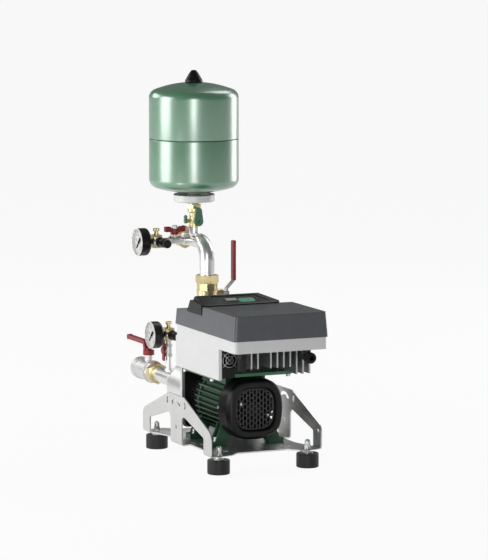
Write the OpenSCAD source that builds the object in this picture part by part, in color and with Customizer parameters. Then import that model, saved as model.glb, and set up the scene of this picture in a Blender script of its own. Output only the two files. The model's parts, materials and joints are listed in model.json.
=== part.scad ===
// Pressure booster unit: a horizontal multistage pump with its converter on top,
// a suction line and a discharge line with ball valves and gauges, and a diaphragm vessel.
// Millimetres. X right, Y from the fan cowl towards the suction end, Z up.
// The origin lies on the floor, in the centre of the four feet.

/* [Base frame] */
// Thickness of the bent sheet
sheet_t = 3; // [2:0.5:4]
// Half width over the two side plates
frame_half_w = 133.7; // [130:0.1:140]
// Half length of the sheet
frame_half_l = 198; // [196:1:205]
// Height of the sheet's underside above the floor
sheet_z = 39; // [38:1:42]
// Height of the flat top of a side plate
side_top_z = 150; // [144:1:156]
// Half length of the flat top of a side plate
side_top_half = 44; // [40:1:48]
// Height of the knee above a foot
knee_z = 92; // [88:1:94]
// Half width of the middle leg
mid_leg_half = 32; // [28:1:34]
// Width of an end leg
end_leg_w = 41; // [38:1:44]
// Height of a window next to the middle leg
window_in_z = 110; // [104:1:112]
// Height of a window next to an end leg
window_out_z = 77; // [74:1:78]
// Distance from the centre to the recessed edge between two legs
recess_x = 112; // [108:1:114]

/* [Feet] */
// Distance from a side plate's face to the middle of a foot
foot_inset_x = 26.7; // [26:0.1:29]
// Distance from an end of the sheet to the middle of a foot
foot_inset_y = 19; // [17:1:22]
// Diameter of a rubber buffer
foot_d = 50; // [44:1:52]
// Height of a rubber buffer
foot_h = 31.5; // [28:0.5:32]
// Nominal thread of a foot stud
stud_d = 8; // [7:0.5:10]

/* [Motor] */
// Height of the pump shaft above the floor
axis_z = 129; // [128:0.5:131]
// Front end of the motor body
motor_y0 = -94; // [-98:1:-92]
// Rear end of the motor body
motor_y1 = 42; // [40:1:44]
// Radius of the motor body under its fins
body_r = 60; // [58:1:61]
// Radius over the fins
fin_r = 71.5; // [69:0.5:73]
// Thickness of a fin
fin_t = 3.2; // [2.4:0.2:4]
// Distance between two fins
fin_pitch = 12; // [11:0.5:14]
// Half spacing of the motor feet across the shaft
motor_foot_x = 70; // [68:1:74]
// Half spacing of the motor feet along the shaft
motor_foot_y = 60; // [54:1:60]
// Outer radius of the stator
stator_r = 54; // [50:1:55]
// Bore radius of the stator
stator_bore_r = 32; // [30:1:34]
// Shaft diameter
shaft_d = 16; // [14:1:18]
// Radial air gap between rotor and stator
air_gap = 0.6; // [0.4:0.1:1]

/* [Fan cowl] */
// Front face of the cowl
cowl_y0 = -143; // [-146:1:-141]
// Half width of the cowl's front rim
rim_half = 62; // [60:1:64]
// Half width of the cowl where it meets the motor
cowl_half = 72; // [70:1:74]
// Half width of the grille opening
grille_half = 45; // [42:1:46]
// Depth of the grille behind the rim
grille_depth = 9; // [7:1:12]
// Width of one grille cell
cell_w = 8; // [7:0.5:10]
// Height of one grille cell
cell_h = 12.6; // [11:0.2:15]
// Width of the web between grille cells
cell_web = 1.4; // [1:0.2:2]
// Wall of the moulded cowl
cowl_wall = 3; // [2.4:0.2:4]

/* [Pump] */
// Start of the square casing plate
casing_y0 = 97; // [95:1:99]
// Thickness of the square casing plate
casing_plate_t = 9; // [8:1:10]
// Half width of the square casing plate
casing_plate_half = 79; // [76:1:81]
// Outer radius of the casing can
casing_r = 67; // [64:0.5:69]
// Far end of the casing can
casing_y1 = 230; // [226:1:234]
// Wall of the casing can
casing_wall = 3; // [2:0.5:4]
// Number of pump stages
stage_n = 3; // [2:1:4]
// Length of one stage
stage_l = 24; // [22:1:26]
// Position of the discharge port along Y
discharge_y = 136.4; // [134:0.2:140]

/* [Converter] */
// Half width of the converter housing
conv_half_w = 110; // [108:0.5:111]
// Front face of the converter housing
conv_y0 = -275; // [-278:1:-270]
// Rear face of the converter housing
conv_y1 = 57; // [54:1:60]
// Underside of the overhanging front band
band_z = 276; // [274:1:278]
// Underside of the lid
lid_z = 303; // [300:1:305]
// Height of the lid's flat top
lid_top_z = 357.5; // [354:0.5:360]
// Height of the lid's rear edge
lid_rear_z = 336; // [332:1:340]
// Start of the lid's rear slope
lid_slope_y = -91; // [-95:1:-88]
// Overhang of the lid over the housing
lid_lip = 2.75; // [2:0.25:3]
// Draft of the lid sides at the top
lid_draft = 3.5; // [2:0.5:5]
// Corner radius of the housing and the lid
conv_corner = 9; // [6:1:12]
// Wall of the housing and of the lid
conv_wall = 3; // [2.5:0.5:4]
// Front edge of the side panels
panel_y = -187; // [-190:0.5:-184]
// Top of the adapter plate
adapter_top_z = 207; // [206:1:209]
// Thickness of the adapter plate
adapter_t = 7; // [5:1:8]
// Distance from the housing's side to the adapter plate's edge
adapter_inset = 11; // [8:1:14]
// Front edge of the adapter plate
adapter_y0 = -118; // [-122:1:-114]

/* [Heat sink and cooling fan] */
// Front of the heat sink
sink_y0 = -199; // [-203:1:-196]
// Fin spacing of the heat sink
sink_pitch = 15.5; // [14:0.5:16]
// Fin thickness of the heat sink
sink_fin_t = 3.4; // [2.6:0.2:4]
// Position of the first fin along X
sink_x0 = -37; // [-38:1:-35]
// Number of fin places
sink_n = 10; // [9:1:10]
// Number of tall fins on the right
sink_tall = 3; // [2:1:4]
// Bottom of the short fins
sink_short_z = 229; // [226:1:234]
// Bottom of the tall fins
sink_tall_z = 212; // [210:1:216]
// Thickness of the heat sink's base
sink_base_t = 10; // [8:1:12]
// Width of the square cooling fan
fan_w = 40; // [36:1:41]
// Depth of the cooling fan
fan_l = 20; // [15:1:25]
// Height of the cooling fan's axis
fan_z = 250; // [248:1:253]

/* [Pipes] */
// Outer diameter of the pipes
pipe_d = 33.7; // [33:0.1:34.5]
// Wall of the pipes
pipe_wall = 2.6; // [2:0.2:3.2]
// Height of the discharge line's axis
line_z = 471; // [468:0.5:474]
// Bend radius of the discharge pipe
bend_r = 42; // [38:1:46]
// Position of the vessel along Y
vessel_y = 212.5; // [210:0.5:216]
// Width across flats of the union nuts
union_af = 46; // [44:0.5:48]
// Start of the discharge union nut
union_z = 379; // [377:0.5:381]
// Length of a union nut
union_l = 19; // [17:0.5:21]
// Start of the outlet union nut
outlet_y = 262; // [258:1:266]
// End of the outlet's male thread
outlet_end_y = 316; // [312:1:320]
// Radius of the outlet's male thread
outlet_r = 16.6; // [16:0.1:17]
// Height of the discharge valve's stem
valve_z = 355; // [353:0.5:357]
// Position of the suction line's gauge branch
gauge_y = 368; // [364:1:372]
// Start of the suction union nut
suction_nut_y = 432; // [428:1:436]
// Position of the suction valve's stem
suction_valve_y = 493; // [490:1:496]
// Face of the suction valve's threaded end
suction_end_y = 544; // [540:1:548]
// Minor radius of the suction valve's female thread
suction_thread_r = 15.15; // [15:0.05:15.4]
// Depth of the suction valve's female thread
suction_thread_l = 18; // [15:1:20]

/* [Gauges] */
// Diameter of a gauge
gauge_d = 63; // [60:1:64]
// Depth of a gauge case
gauge_l = 26; // [24:1:28]
// Distance from the upper sensor block to the vessel's axis
upper_block_x = 93.5; // [92:0.5:95]
// Distance from the upper cock's stem to the vessel's axis
upper_cock_x = 48; // [47:0.5:50]
// Height of the lower cock's stem
lower_cock_z = 194; // [192:0.5:196]
// Height of the lower sensor block
lower_block_z = 232; // [230:0.5:234]

/* [Vessel] */
// Outer radius of the vessel
vessel_r = 102.5; // [98:0.5:104]
// Wall of the vessel shells
vessel_wall = 2; // [1.5:0.5:3]
// Lowest point of the vessel shells
vessel_z0 = 578; // [576:1:580]
// End of the lower shell's curved bottom
vessel_lower_z = 611; // [608:1:614]
// Height of the seam
vessel_seam_z = 703.3; // [698:0.1:708]
// Start of the upper shell's dome
vessel_upper_z = 795.6; // [792:0.2:800]
// Highest point of the upper shell
vessel_z1 = 831.8; // [828:0.2:834]
// Knuckle radius of the domes
knuckle_r = 21; // [18:1:24]
// Height of the seam groove
seam_gap = 1.6; // [1.2:0.1:2.4]
// Radius of the white ring under the vessel
ring_r = 47; // [45:0.5:49]
// Height of the flow valve's lever pivot
flow_lever_z = 514.5; // [513:0.5:516]

/* [Fits] */
// Radial clearance of a shaft in its bore
run_fit = 0.05; // [0.03:0.01:0.08]
// Gap between pieces that move past each other
gap = 0.3; // [0.2:0.05:0.5]

/* [Hidden] */
$fn = 64;

// Overlap that joins two solids of one piece
eps = 0.5;
// Extra length of a cutter past a face
cut = 1;

sheet_top = sheet_z + sheet_t;
pipe_r = pipe_d / 2;
pipe_bore = pipe_r - pipe_wall;
motor_l = motor_y1 - motor_y0;
motor_yc = -20;
shaft_r = shaft_d / 2;
foot_screw_r = 3.4;
foot_x = frame_half_w - foot_inset_x;
foot_y = frame_half_l - foot_inset_y;
end_leg_in = frame_half_l - end_leg_w;
adapter_half_w = conv_half_w - adapter_inset;

// Unit vector of v
function unit(v) = v / norm(v);
// Points of the arc of radius r that rounds the corner b between a and c
function corner(a, b, c, r) =
  let(u = unit(a - b), v = unit(c - b), h = acos(u * v) / 2, d = r / tan(h),
      m = b + unit(u + v) * r / sin(h), s = b + u * d - m, e = b + v * d - m,
      w = 180 - 2 * h, n = 5)
  [for (i = [0:n]) m + (s * sin((1 - i / n) * w) + e * sin(i / n * w)) / sin(w)];
function xy(p) = [p[0], p[1]];
// Outline from corner points, each given as x, y and its rounding radius
function rounded(p) = let(n = len(p))
  [for (i = [0:n - 1])
    each p[i][2] > 0 ? corner(xy(p[(i + n - 1) % n]), xy(p[i]), xy(p[(i + 1) % n]), p[i][2])
                     : [xy(p[i])]];
// Rounded rectangle between two corners
function rounded_rect(x0, y0, x1, y1, r) =
  rounded([[x0, y0, r], [x1, y0, r], [x1, y1, r], [x0, y1, r]]);
// Square with bulging sides and round corners
function superellipse(a, p = 3.2, n = 72) =
  [for (i = [0:n - 1]) let(t = 360 * i / n, c = cos(t), s = sin(t))
    [a * sign(c) * pow(abs(c), 2 / p), a * sign(s) * pow(abs(s), 2 / p)]];
// Quarter outline of a torispherical head of radius a, height h and knuckle radius k
function head(a, h, k, n = 8) =
  let(crown = (pow(a - k, 2) + h * h - k * k) / (2 * (h - k)), t = acos((a - k) / (crown - k)))
  concat([for (i = [0:n]) [a - k + k * cos(t * i / n), k * sin(t * i / n)]],
         [for (i = [1:n]) let(w = t + (90 - t) * i / n)
           [crown * cos(w), crown * sin(w) + h - crown]]);
function shifted(p, dx, dz, s = 1) = [for (q = p) [q[0] + dx, dz + s * q[1]]];
function reversed(p) = [for (i = [len(p) - 1:-1:0]) p[i]];

// Local Z runs along +Y from the point (x, y0, z)
module along_y(y0, x = 0, z = axis_z) translate([x, y0, z]) rotate([-90, 0, 0]) children();
// Local Z runs along -X from the point (x0, y, z), local X points up
module along_minus_x(x0, y, z) translate([x0, y, z]) rotate([0, -90, 0]) children();
module tube(r_out, r_in, h) {
  difference() {
    cylinder(r = r_out, h = h);
    translate([0, 0, -cut]) cylinder(r = r_in, h = h + 2 * cut);
  }
}
module hex_rod(af, h) cylinder(d = af / cos(30), h = h, $fn = 6);
// Hexagon with its edges turned down at both ends
module hex_nut(af, h) {
  bevel = af * 0.06;
  intersection() {
    hex_rod(af, h);
    rotate_extrude()
      polygon([[0, 0], [af / 2, 0], [af / 2 + 2.4 * bevel, bevel], [af / 2 + 2.4 * bevel, h - bevel],
               [af / 2, h], [0, h]]);
  }
}
// Knurled barrel, drawn as turned polygons
module knurl(r, h, n = 4) {
  linear_extrude(h) for (i = [0:n - 1]) rotate(60 * i / n) circle(r = r, $fn = 6);
}
module at_feet() {
  for (sx = [-1, 1], sy = [-1, 1]) translate([sx * foot_x, sy * foot_y, 0]) children();
}

// Base frame

frame_height = side_top_z - sheet_z;
slot_w = 8;
leg_corner = 8;
module side_outline() {
  polygon(rounded([
    [-frame_half_l, sheet_z, leg_corner], [frame_half_l, sheet_z, leg_corner],
    [frame_half_l, knee_z, 20], [side_top_half, side_top_z, 12],
    [-side_top_half, side_top_z, 12], [-frame_half_l, knee_z, 20]]));
}
module side_window(s) {
  polygon(rounded([
    [s * mid_leg_half, sheet_z - cut, 0], [s * end_leg_in, sheet_z - cut, 0],
    [s * end_leg_in, window_out_z, 4], [s * mid_leg_half, window_in_z, 14]]));
}
module recess_outline(sx, sy) {
  polygon(rounded([
    [sx * (frame_half_w + cut), sy * mid_leg_half, 0],
    [sx * (frame_half_w + cut), sy * end_leg_in, 0],
    [sx * (frame_half_w - 5), sy * end_leg_in, 4],
    [sx * recess_x, sy * (mid_leg_half + 70), 60],
    [sx * recess_x, sy * mid_leg_half, 6]]));
}
module end_recess_outline(sy) {
  lobe_in = 60;
  lobe_out = 84;
  recess_l = 26;
  polygon(rounded([
    [-lobe_out, sy * (frame_half_l + cut), 0], [-lobe_out, sy * frame_half_l, 0],
    [-lobe_in, sy * (frame_half_l - recess_l), 8], [lobe_in, sy * (frame_half_l - recess_l), 8],
    [lobe_out, sy * frame_half_l, 0], [lobe_out, sy * (frame_half_l + cut), 0]]));
}
module slot_cutter(l, w, h) {
  for (s = [-1, 1]) translate([s * (l - w) / 2, 0, 0]) cylinder(d = w, h = h, $fn = 24);
  translate([-(l - w) / 2, -w / 2, 0]) cube([l - w, w, h]);
}
// Local X up, local Y along Y, local Z through a side plate
module through_sides() {
  translate([-frame_half_w - cut, 0, 0]) rotate([90, 0, 90]) children();
}
module base_frame() {
  bend = 5;
  arc_r = 35;
  arc_z = 103;
  arc_half = 37;
  slot_y = 50.5;
  slot_z = 132;
  through = 2 * frame_half_w + 2 * cut;
  color("gainsboro") difference() {
    intersection() {
      translate([0, frame_half_l, 0]) rotate([90, 0, 0])
        linear_extrude(2 * frame_half_l) polygon(rounded([
          [-frame_half_w, side_top_z + cut, 0], [-frame_half_w, sheet_z, bend],
          [frame_half_w, sheet_z, bend], [frame_half_w, side_top_z + cut, 0],
          [frame_half_w - sheet_t, side_top_z + cut, 0],
          [frame_half_w - sheet_t, sheet_top, bend - sheet_t],
          [-frame_half_w + sheet_t, sheet_top, bend - sheet_t],
          [-frame_half_w + sheet_t, side_top_z + cut, 0]]));
      through_sides() linear_extrude(through) side_outline();
    }
    for (sy = [-1, 1]) {
      difference() {
        through_sides() linear_extrude(through) side_window(sy);
        translate([-frame_half_w + bend, -frame_half_l, sheet_z - 2 * cut])
          cube([2 * (frame_half_w - bend), 2 * frame_half_l, frame_height]);
      }
      for (sx = [-1, 1])
        translate([0, 0, sheet_z - cut]) linear_extrude(bend + 2 * cut) recess_outline(sx, sy);
      translate([0, 0, sheet_z - cut]) linear_extrude(sheet_t + 2 * cut)
        end_recess_outline(sy);
      through_sides() translate([sy * slot_y, slot_z, 0]) rotate([0, 0, 90])
        slot_cutter(15, slot_w, through);
      for (sx = [-1, 1], q = [[recess_x - 24, mid_leg_half + 10], [recess_x - 36, end_leg_in - 12]])
        translate([sx * q[0], sy * q[1], sheet_z - cut]) slot_cutter(12, 6, sheet_t + 2 * cut);
    }
    // Arc slot with round ends
    through_sides() translate([0, arc_z, 0]) {
      rotate([0, 0, 90 - arc_half]) rotate_extrude(angle = 2 * arc_half)
        translate([arc_r - slot_w / 2, 0]) square([slot_w, through]);
      for (s = [-1, 1]) rotate([0, 0, s * arc_half]) translate([0, arc_r, 0])
        cylinder(d = slot_w, h = through, $fn = 24);
    }
    through_sides() translate([0, 78, 0]) cylinder(d = 8.6, h = through, $fn = 32);
    translate([frame_half_w - sheet_t - cut, -frame_half_l + 14, 80]) rotate([0, 90, 0])
      cylinder(d = 8.6, h = sheet_t + 2 * cut, $fn = 32);
    at_feet() translate([0, 0, sheet_z - cut])
      cylinder(d = stud_d + 1, h = sheet_t + 2 * cut, $fn = 32);
    for (sx = [-1, 1], sy = [-1, 1])
      translate([sx * motor_foot_x, motor_yc + sy * motor_foot_y, sheet_z - cut])
        cylinder(d = stud_d + 1, h = sheet_t + 2 * cut, $fn = 32);
  }
}

// Feet

insert_l = 12;
plate_d = 24;
module rubber_feet() {
  color("black") at_feet() difference() {
    rotate_extrude() polygon([[0, 0], [foot_d / 2 - 1.5, 0], [foot_d / 2, 1.5],
      [foot_d / 2, foot_h - 1.5], [foot_d / 2 - 1.5, foot_h], [0, foot_h]]);
    translate([0, 0, -cut]) cylinder(r = foot_screw_r, h = insert_l + cut);
    translate([0, 0, foot_h - 10]) cylinder(d = stud_d, h = 10 + cut);
  }
}
// Stud with its plate, lower nut, washer and dome nut of each foot
module foot_fixings() {
  nut_af = 13;
  nut_l = sheet_z - foot_h - 2;
  dome_l = 10;
  stud_l = sheet_top - foot_h + 15;
  color("silver") at_feet() {
    translate([0, 0, foot_h - 10]) cylinder(d = stud_d, h = 10 + stud_l - 3);
    translate([0, 0, foot_h]) cylinder(d = plate_d, h = 2);
    translate([0, 0, foot_h + 2]) hex_nut(nut_af, nut_l);
    translate([0, 0, sheet_top]) difference() {
      union() {
        cylinder(d = 17, h = 1.6);
        translate([0, 0, 1.6]) hex_nut(nut_af, 6.5);
        translate([0, 0, 8]) cylinder(d = nut_af - 1, h = dome_l - 4);
        translate([0, 0, 4 + dome_l]) intersection() {
          sphere(d = nut_af - 1);
          cylinder(d = nut_af, h = nut_af);
        }
      }
      translate([0, 0, -cut]) cylinder(d = stud_d + 2 * run_fit, h = 13 + cut);
    }
  }
}

// Motor

shield_t = 8;
seat_r = 17.5;
bearing_w = 11;
motor_foot_l = 27;
pad_t = 12;
// One cast foot on the +X side: a pad between two ribs, drawn from its middle
module motor_foot() {
  rib_t = 4.5;
  pad_x0 = motor_foot_x - 16;
  pad_x1 = motor_foot_x + 18;
  translate([pad_x0, -motor_foot_l / 2, sheet_top]) cube([pad_x1 - pad_x0, motor_foot_l, pad_t]);
  for (s = [0, 1]) mirror([0, s, 0]) translate([0, motor_foot_l / 2, 0]) rotate([90, 0, 0])
    linear_extrude(rib_t) polygon(rounded([[30, axis_z - 40, 0], [52, axis_z - 26, 0],
      [63, axis_z - 36, 4], [pad_x1 - 10, sheet_top + pad_t, 3], [pad_x1, sheet_top + pad_t, 1],
      [pad_x1, sheet_top + eps, 0], [pad_x0, sheet_top + eps, 3], [38, sheet_top + 32, 4]]));
}
module motor_housing() {
  fin_steps = floor((fin_r - 8) / fin_pitch);
  top_half = 48;
  color("darkgreen") difference() {
    union() {
      along_y(motor_y0) cylinder(r = body_r, h = motor_l);
      // Level fins, cut to a round envelope
      intersection() {
        along_y(motor_y0 + 2) cylinder(r = fin_r, h = motor_l - 4);
        for (i = [-fin_steps:fin_steps])
          translate([-fin_r, motor_y0, axis_z + i * fin_pitch - fin_t / 2])
            cube([2 * fin_r, motor_l, fin_t]);
      }
      // Flat head that carries the adapter plate
      translate([-top_half, motor_y0 + 14, axis_z + 30])
        cube([2 * top_half, motor_l - 28, adapter_top_z - adapter_t - axis_z - 30]);
      for (sx = [0, 1], sy = [-1, 1]) mirror([sx, 0, 0])
        translate([0, motor_yc + sy * motor_foot_y, 0]) motor_foot();
      // Round rear flange
      along_y(motor_y1 - shield_t) cylinder(r = body_r + 4, h = shield_t);
    }
    along_y(motor_y0 + shield_t) cylinder(r = stator_r + run_fit, h = motor_l - 2 * shield_t);
    along_y(motor_y0 - cut) cylinder(r = seat_r, h = motor_l + 2 * cut);
    along_y(motor_y1) cylinder(r = lantern_r + gap, h = motor_foot_l);
    for (sx = [-1, 1], sy = [-1, 1])
      translate([sx * motor_foot_x, motor_yc + sy * motor_foot_y, sheet_top - cut])
        cylinder(d = stud_d + 1, h = pad_t + 2 * cut, $fn = 32);
  }
}
stack_l = 70;
stack_y = motor_yc - stack_l / 2 - 6;
module stator() {
  winding_l = 16;
  color("dimgray") difference() {
    union() {
      along_y(stack_y) cylinder(r = stator_r, h = stack_l);
      for (s = [0, 1]) along_y(stack_y - winding_l + s * (winding_l + stack_l)) cylinder(r = 48, h = winding_l);
    }
    along_y(stack_y - winding_l - cut)
      cylinder(r = stator_bore_r, h = stack_l + 2 * winding_l + 2 * cut);
  }
}
module bearings() {
  color("lightgray") for (y = [motor_y0, motor_y1 - bearing_w])
    along_y(y) tube(seat_r - run_fit, shaft_r + run_fit, bearing_w);
}
rotor_r = stator_bore_r - air_gap;
fan_y0 = cowl_y0 + 20;
fan_hub_front = 3;
shaft_y0 = fan_y0 + fan_hub_front + gap;
stage_end_y = casing_y1 - 7;
stage_y0 = stage_end_y - stage_n * stage_l;
shaft_y1 = stage_end_y - 5;
module pump_shaft() {
  color("silver") along_y(shaft_y0) {
    translate([0, 0, 1]) cylinder(r = shaft_r, h = shaft_y1 - shaft_y0 - 2);
    cylinder(r = shaft_r - 1, h = shaft_y1 - shaft_y0);
  }
}
module rotor_core() {
  color("slategray") along_y(stack_y) {
    tube(rotor_r, shaft_r + run_fit, stack_l);
    for (s = [0, 1]) translate([0, 0, -4 + s * (4 + stack_l)]) tube(rotor_r - 4, shaft_r + run_fit, 4);
  }
}
module motor_fan() {
  blade_n = 9;
  fan_r = 50;
  hub_l = 20;
  disc_t = 3;
  color("black") along_y(fan_y0) difference() {
    union() {
      cylinder(r = 2 * shaft_r, h = hub_l);
      translate([0, 0, hub_l - disc_t]) cylinder(r = fan_r, h = disc_t);
      for (i = [0:blade_n - 1]) rotate([0, 0, i * 360 / blade_n])
        translate([shaft_r + 4, -1.2, 1]) cube([fan_r - shaft_r - 5, 2.4, hub_l - 2]);
    }
    translate([0, 0, fan_hub_front]) cylinder(r = shaft_r + run_fit, h = hub_l);
  }
}
module section_at(y, half, h, p = 3.2) {
  along_y(y) linear_extrude(h) polygon(superellipse(half, p));
}
cowl_screw_y = motor_y0 - 5;
grille_t = 2.5;
// Moulded cowl with a square, round-cornered rim and a recessed grille of long cells
module fan_cowl() {
  rim_l = 3;
  shoulder_l = 14;
  grille_y = cowl_y0 + grille_depth;
  cell_cols = floor(grille_half / cell_w);
  cell_rows = ceil(grille_half / cell_h);
  color([0.14, 0.14, 0.14]) difference() {
    union() {
      hull() {
        section_at(cowl_y0, rim_half - 3, 1);
        section_at(cowl_y0 + rim_l, rim_half, 1);
      }
      hull() {
        section_at(cowl_y0 + rim_l, rim_half, 1);
        section_at(cowl_y0 + shoulder_l, cowl_half - 4, 1, 2.6);
      }
      hull() {
        section_at(cowl_y0 + shoulder_l, cowl_half - 4, 1, 2.6);
        section_at(motor_y0 - 1, cowl_half, 1, 2.2);
      }
    }
    hull() {
      section_at(grille_y + grille_t, rim_half - cowl_wall - 4, 1);
      section_at(cowl_y0 + shoulder_l, cowl_half - 4 - cowl_wall, 1, 2.6);
    }
    hull() {
      section_at(cowl_y0 + shoulder_l, cowl_half - 4 - cowl_wall, 1, 2.6);
      section_at(motor_y0 + cut, cowl_half - cowl_wall, 1, 2.2);
    }
    hull() {
      section_at(cowl_y0 - cut, grille_half + 5, 1);
      section_at(grille_y - 1, grille_half, 1);
    }
    // Relief under the adapter plate
    translate([-cowl_half, adapter_y0 - gap, adapter_top_z - adapter_t - gap])
      cube([2 * cowl_half, motor_y0 - adapter_y0 + cut, adapter_t]);
    for (s = [-1, 1]) translate([0, cowl_screw_y, axis_z + 4]) rotate([0, s * 90, 0])
      cylinder(d = 4.6, h = cowl_half + cut, $fn = 24);
    // Grille cells
    along_y(grille_y - cut) linear_extrude(2 * cell_w) intersection() {
      polygon(superellipse(grille_half - 1.5));
      for (i = [-cell_cols:cell_cols], j = [-cell_rows:cell_rows])
        translate([i * cell_w, (j + (i % 2 == 0 ? 0 : 0.5)) * cell_h])
          polygon([for (k = [[0, 1], [1, 0.5], [1, -0.5], [0, -1], [-1, -0.5], [-1, 0.5]])
            [k[0] * (cell_w - cell_web) / 2, k[1] * (cell_h - cell_web) / 1.72]]);
    }
  }
}

// Screws and bolts that show

module screw(head_d, head_l, shank_d, shank_l) {
  difference() {
    cylinder(d = head_d, h = head_l);
    translate([0, 0, head_l - 1.2]) hex_rod(head_d * 0.45, 1.2 + cut);
  }
  translate([0, 0, -shank_l]) cylinder(d = shank_d, h = shank_l + eps);
}
adapter_bolt_x = adapter_half_w - 7;
adapter_bolt_y = [-108, 46];
lid_screw_inset = 12;
lid_screws = [[-1, conv_y0 + lid_screw_inset], [1, conv_y0 + lid_screw_inset]];
module fixing_screws() {
  color("silver") {
    // Behind the grille, with their heads against it
    for (p = [[-33, 12.5], [33, -16.5]])
      translate([p[0], cowl_y0 + grille_depth + grille_t + 3, axis_z + p[1]]) rotate([90, 0, 0])
        screw(7, 3, 4, 1);
    // On the sides of the cowl
    for (s = [-1, 1]) translate([s * cowl_half, cowl_screw_y, axis_z + 4])
      rotate([0, s * 90, 0]) screw(7, 3, 4, 5);
    // Adapter plate to the converter, from below
    for (s = [-1, 1], y = adapter_bolt_y)
      translate([s * adapter_bolt_x, y, adapter_top_z - adapter_t]) rotate([180, 0, 0])
        screw(10, 6, 5, adapter_t - 1);
    // Lid screws, deep in their recesses
    for (p = lid_screws)
      translate([p[0] * (conv_half_w - lid_screw_inset), p[1], lid_top_z - 4]) screw(5.5, 3, 3, 5);
  }
}
module motor_bolts() {
  color([0.2, 0.2, 0.2]) for (sx = [-1, 1], sy = [-1, 1])
    translate([sx * motor_foot_x, motor_yc + sy * motor_foot_y, sheet_top + pad_t]) {
      cylinder(d = 16, h = 1.6);
      translate([0, 0, 1.6 - eps]) screw(13, 8, stud_d, 20);
    }
}

// Lantern and guard

lantern_r = 62;
lantern_plate_t = 7;
lantern_flange_t = 10;
lantern_y1 = casing_y0;
// Outline of the casing's square plate, shrunk by d
module casing_plate_outline(d) {
  half = casing_plate_half - d;
  polygon(rounded_rect(-half, -half, half, half - 8, 14));
}
module lantern() {
  web_w = 16;
  color([0.12, 0.12, 0.12]) difference() {
    union() {
      along_y(motor_y1) cylinder(r = lantern_r, h = lantern_plate_t);
      along_y(lantern_y1 - lantern_flange_t) linear_extrude(lantern_flange_t)
        casing_plate_outline(3);
      for (a = [45:90:315]) along_y(motor_y1) rotate([0, 0, a])
        translate([lantern_r - 16, -web_w / 2, 0]) cube([9, web_w, lantern_y1 - motor_y1]);
    }
    along_y(motor_y1 - cut) cylinder(r = 24, h = lantern_y1 - motor_y1 + 2 * cut);
  }
}
module coupling_guard() {
  slot_n = 60;
  slot_t = 2.6;
  rim = 4;
  guard_l = lantern_y1 - motor_y1 - lantern_plate_t - lantern_flange_t;
  color([0.1, 0.1, 0.1]) along_y(motor_y1 + lantern_plate_t) {
    for (z = [0, (guard_l - rim) / 2, guard_l - rim]) translate([0, 0, z])
      tube(lantern_r - 1, lantern_r - 2.5, rim);
    translate([0, 0, rim / 2]) linear_extrude(guard_l - rim) difference() {
      circle(r = lantern_r - 1.3);
      circle(r = lantern_r - 2.2);
      for (i = [0:slot_n / 2 - 1]) rotate(i * 360 / slot_n)
        translate([-lantern_r, -slot_t / 2]) square([2 * lantern_r, slot_t]);
    }
  }
}

// Pump

casing_inner_r = casing_r - casing_wall;
port_r = 24;
port_top = axis_z + casing_r + 12;
suction_port_r = 21;
suction_port_y1 = casing_y1 + 22;
seal_bore = 20;
// Half section of a can with a rounded end
function can_outline(r, l, end_r) =
  concat([[0, 0], [r, 0]], [for (i = [0:6]) [r - end_r + end_r * cos(15 * i),
         l - end_r + end_r * sin(15 * i)]], [[0, l]]);
module pump_casing() {
  end_r = 16;
  color("lightgray") difference() {
    union() {
      along_y(casing_y0) linear_extrude(casing_plate_t) casing_plate_outline(0);
      along_y(casing_y0) rotate_extrude()
        polygon(can_outline(casing_r, casing_y1 - casing_y0, end_r));
      // Raised rim at the joint with the plate
      along_y(casing_y0 + casing_plate_t) cylinder(r = casing_r + 3, h = 4);
      translate([0, discharge_y, axis_z]) cylinder(r = port_r, h = port_top - axis_z);
      along_y(casing_y1 - eps) cylinder(r = suction_port_r, h = suction_port_y1 - casing_y1 + eps);
    }
    along_y(casing_y0 + casing_plate_t) rotate_extrude()
      polygon(can_outline(casing_inner_r, stage_end_y - casing_y0 - casing_plate_t,
                          end_r - casing_wall));
    along_y(casing_y0 - cut) cylinder(r = seal_bore, h = casing_plate_t + 2 * cut);
    translate([0, discharge_y, axis_z]) cylinder(r = pipe_bore, h = port_top - axis_z + cut);
    along_y(casing_y1 - 30) cylinder(r = pipe_bore, h = suction_port_y1 - casing_y1 + 30 + cut);
  }
}
chamber_r = casing_inner_r - 14;
impeller_r = chamber_r - 4;
module stage_chambers() {
  color("silver") for (i = [0:stage_n - 1]) along_y(stage_y0 + i * stage_l)
    rotate_extrude() polygon([[shaft_r + 6, 0], [chamber_r, 0], [chamber_r, stage_l],
      [chamber_r - 1.6, stage_l], [chamber_r - 1.6, 1.6], [shaft_r + 6, 1.6]]);
}
module impellers() {
  vane_n = 6;
  color("silver") for (i = [0:stage_n - 1]) along_y(stage_y0 + i * stage_l + 6) difference() {
    union() {
      cylinder(r = shaft_r + 4, h = 11);
      cylinder(r = impeller_r, h = 1.6);
      translate([0, 0, 7.6]) tube(impeller_r, shaft_r + 9, 1.6);
      for (k = [0:vane_n - 1]) rotate([0, 0, k * 360 / vane_n])
        translate([shaft_r + 2, 0, 0]) rotate([0, 0, -35]) cube([32, 1.6, 8]);
    }
    translate([0, 0, -cut]) cylinder(r = shaft_r + run_fit, h = 11 + 2 * cut);
  }
}
module shaft_seal() {
  color("dimgray") along_y(casing_y0 + 1) tube(seal_bore - run_fit, shaft_r + run_fit, 12);
}

// Plugs: two on the sensor blocks, one to fill and one to drain the pump

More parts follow.
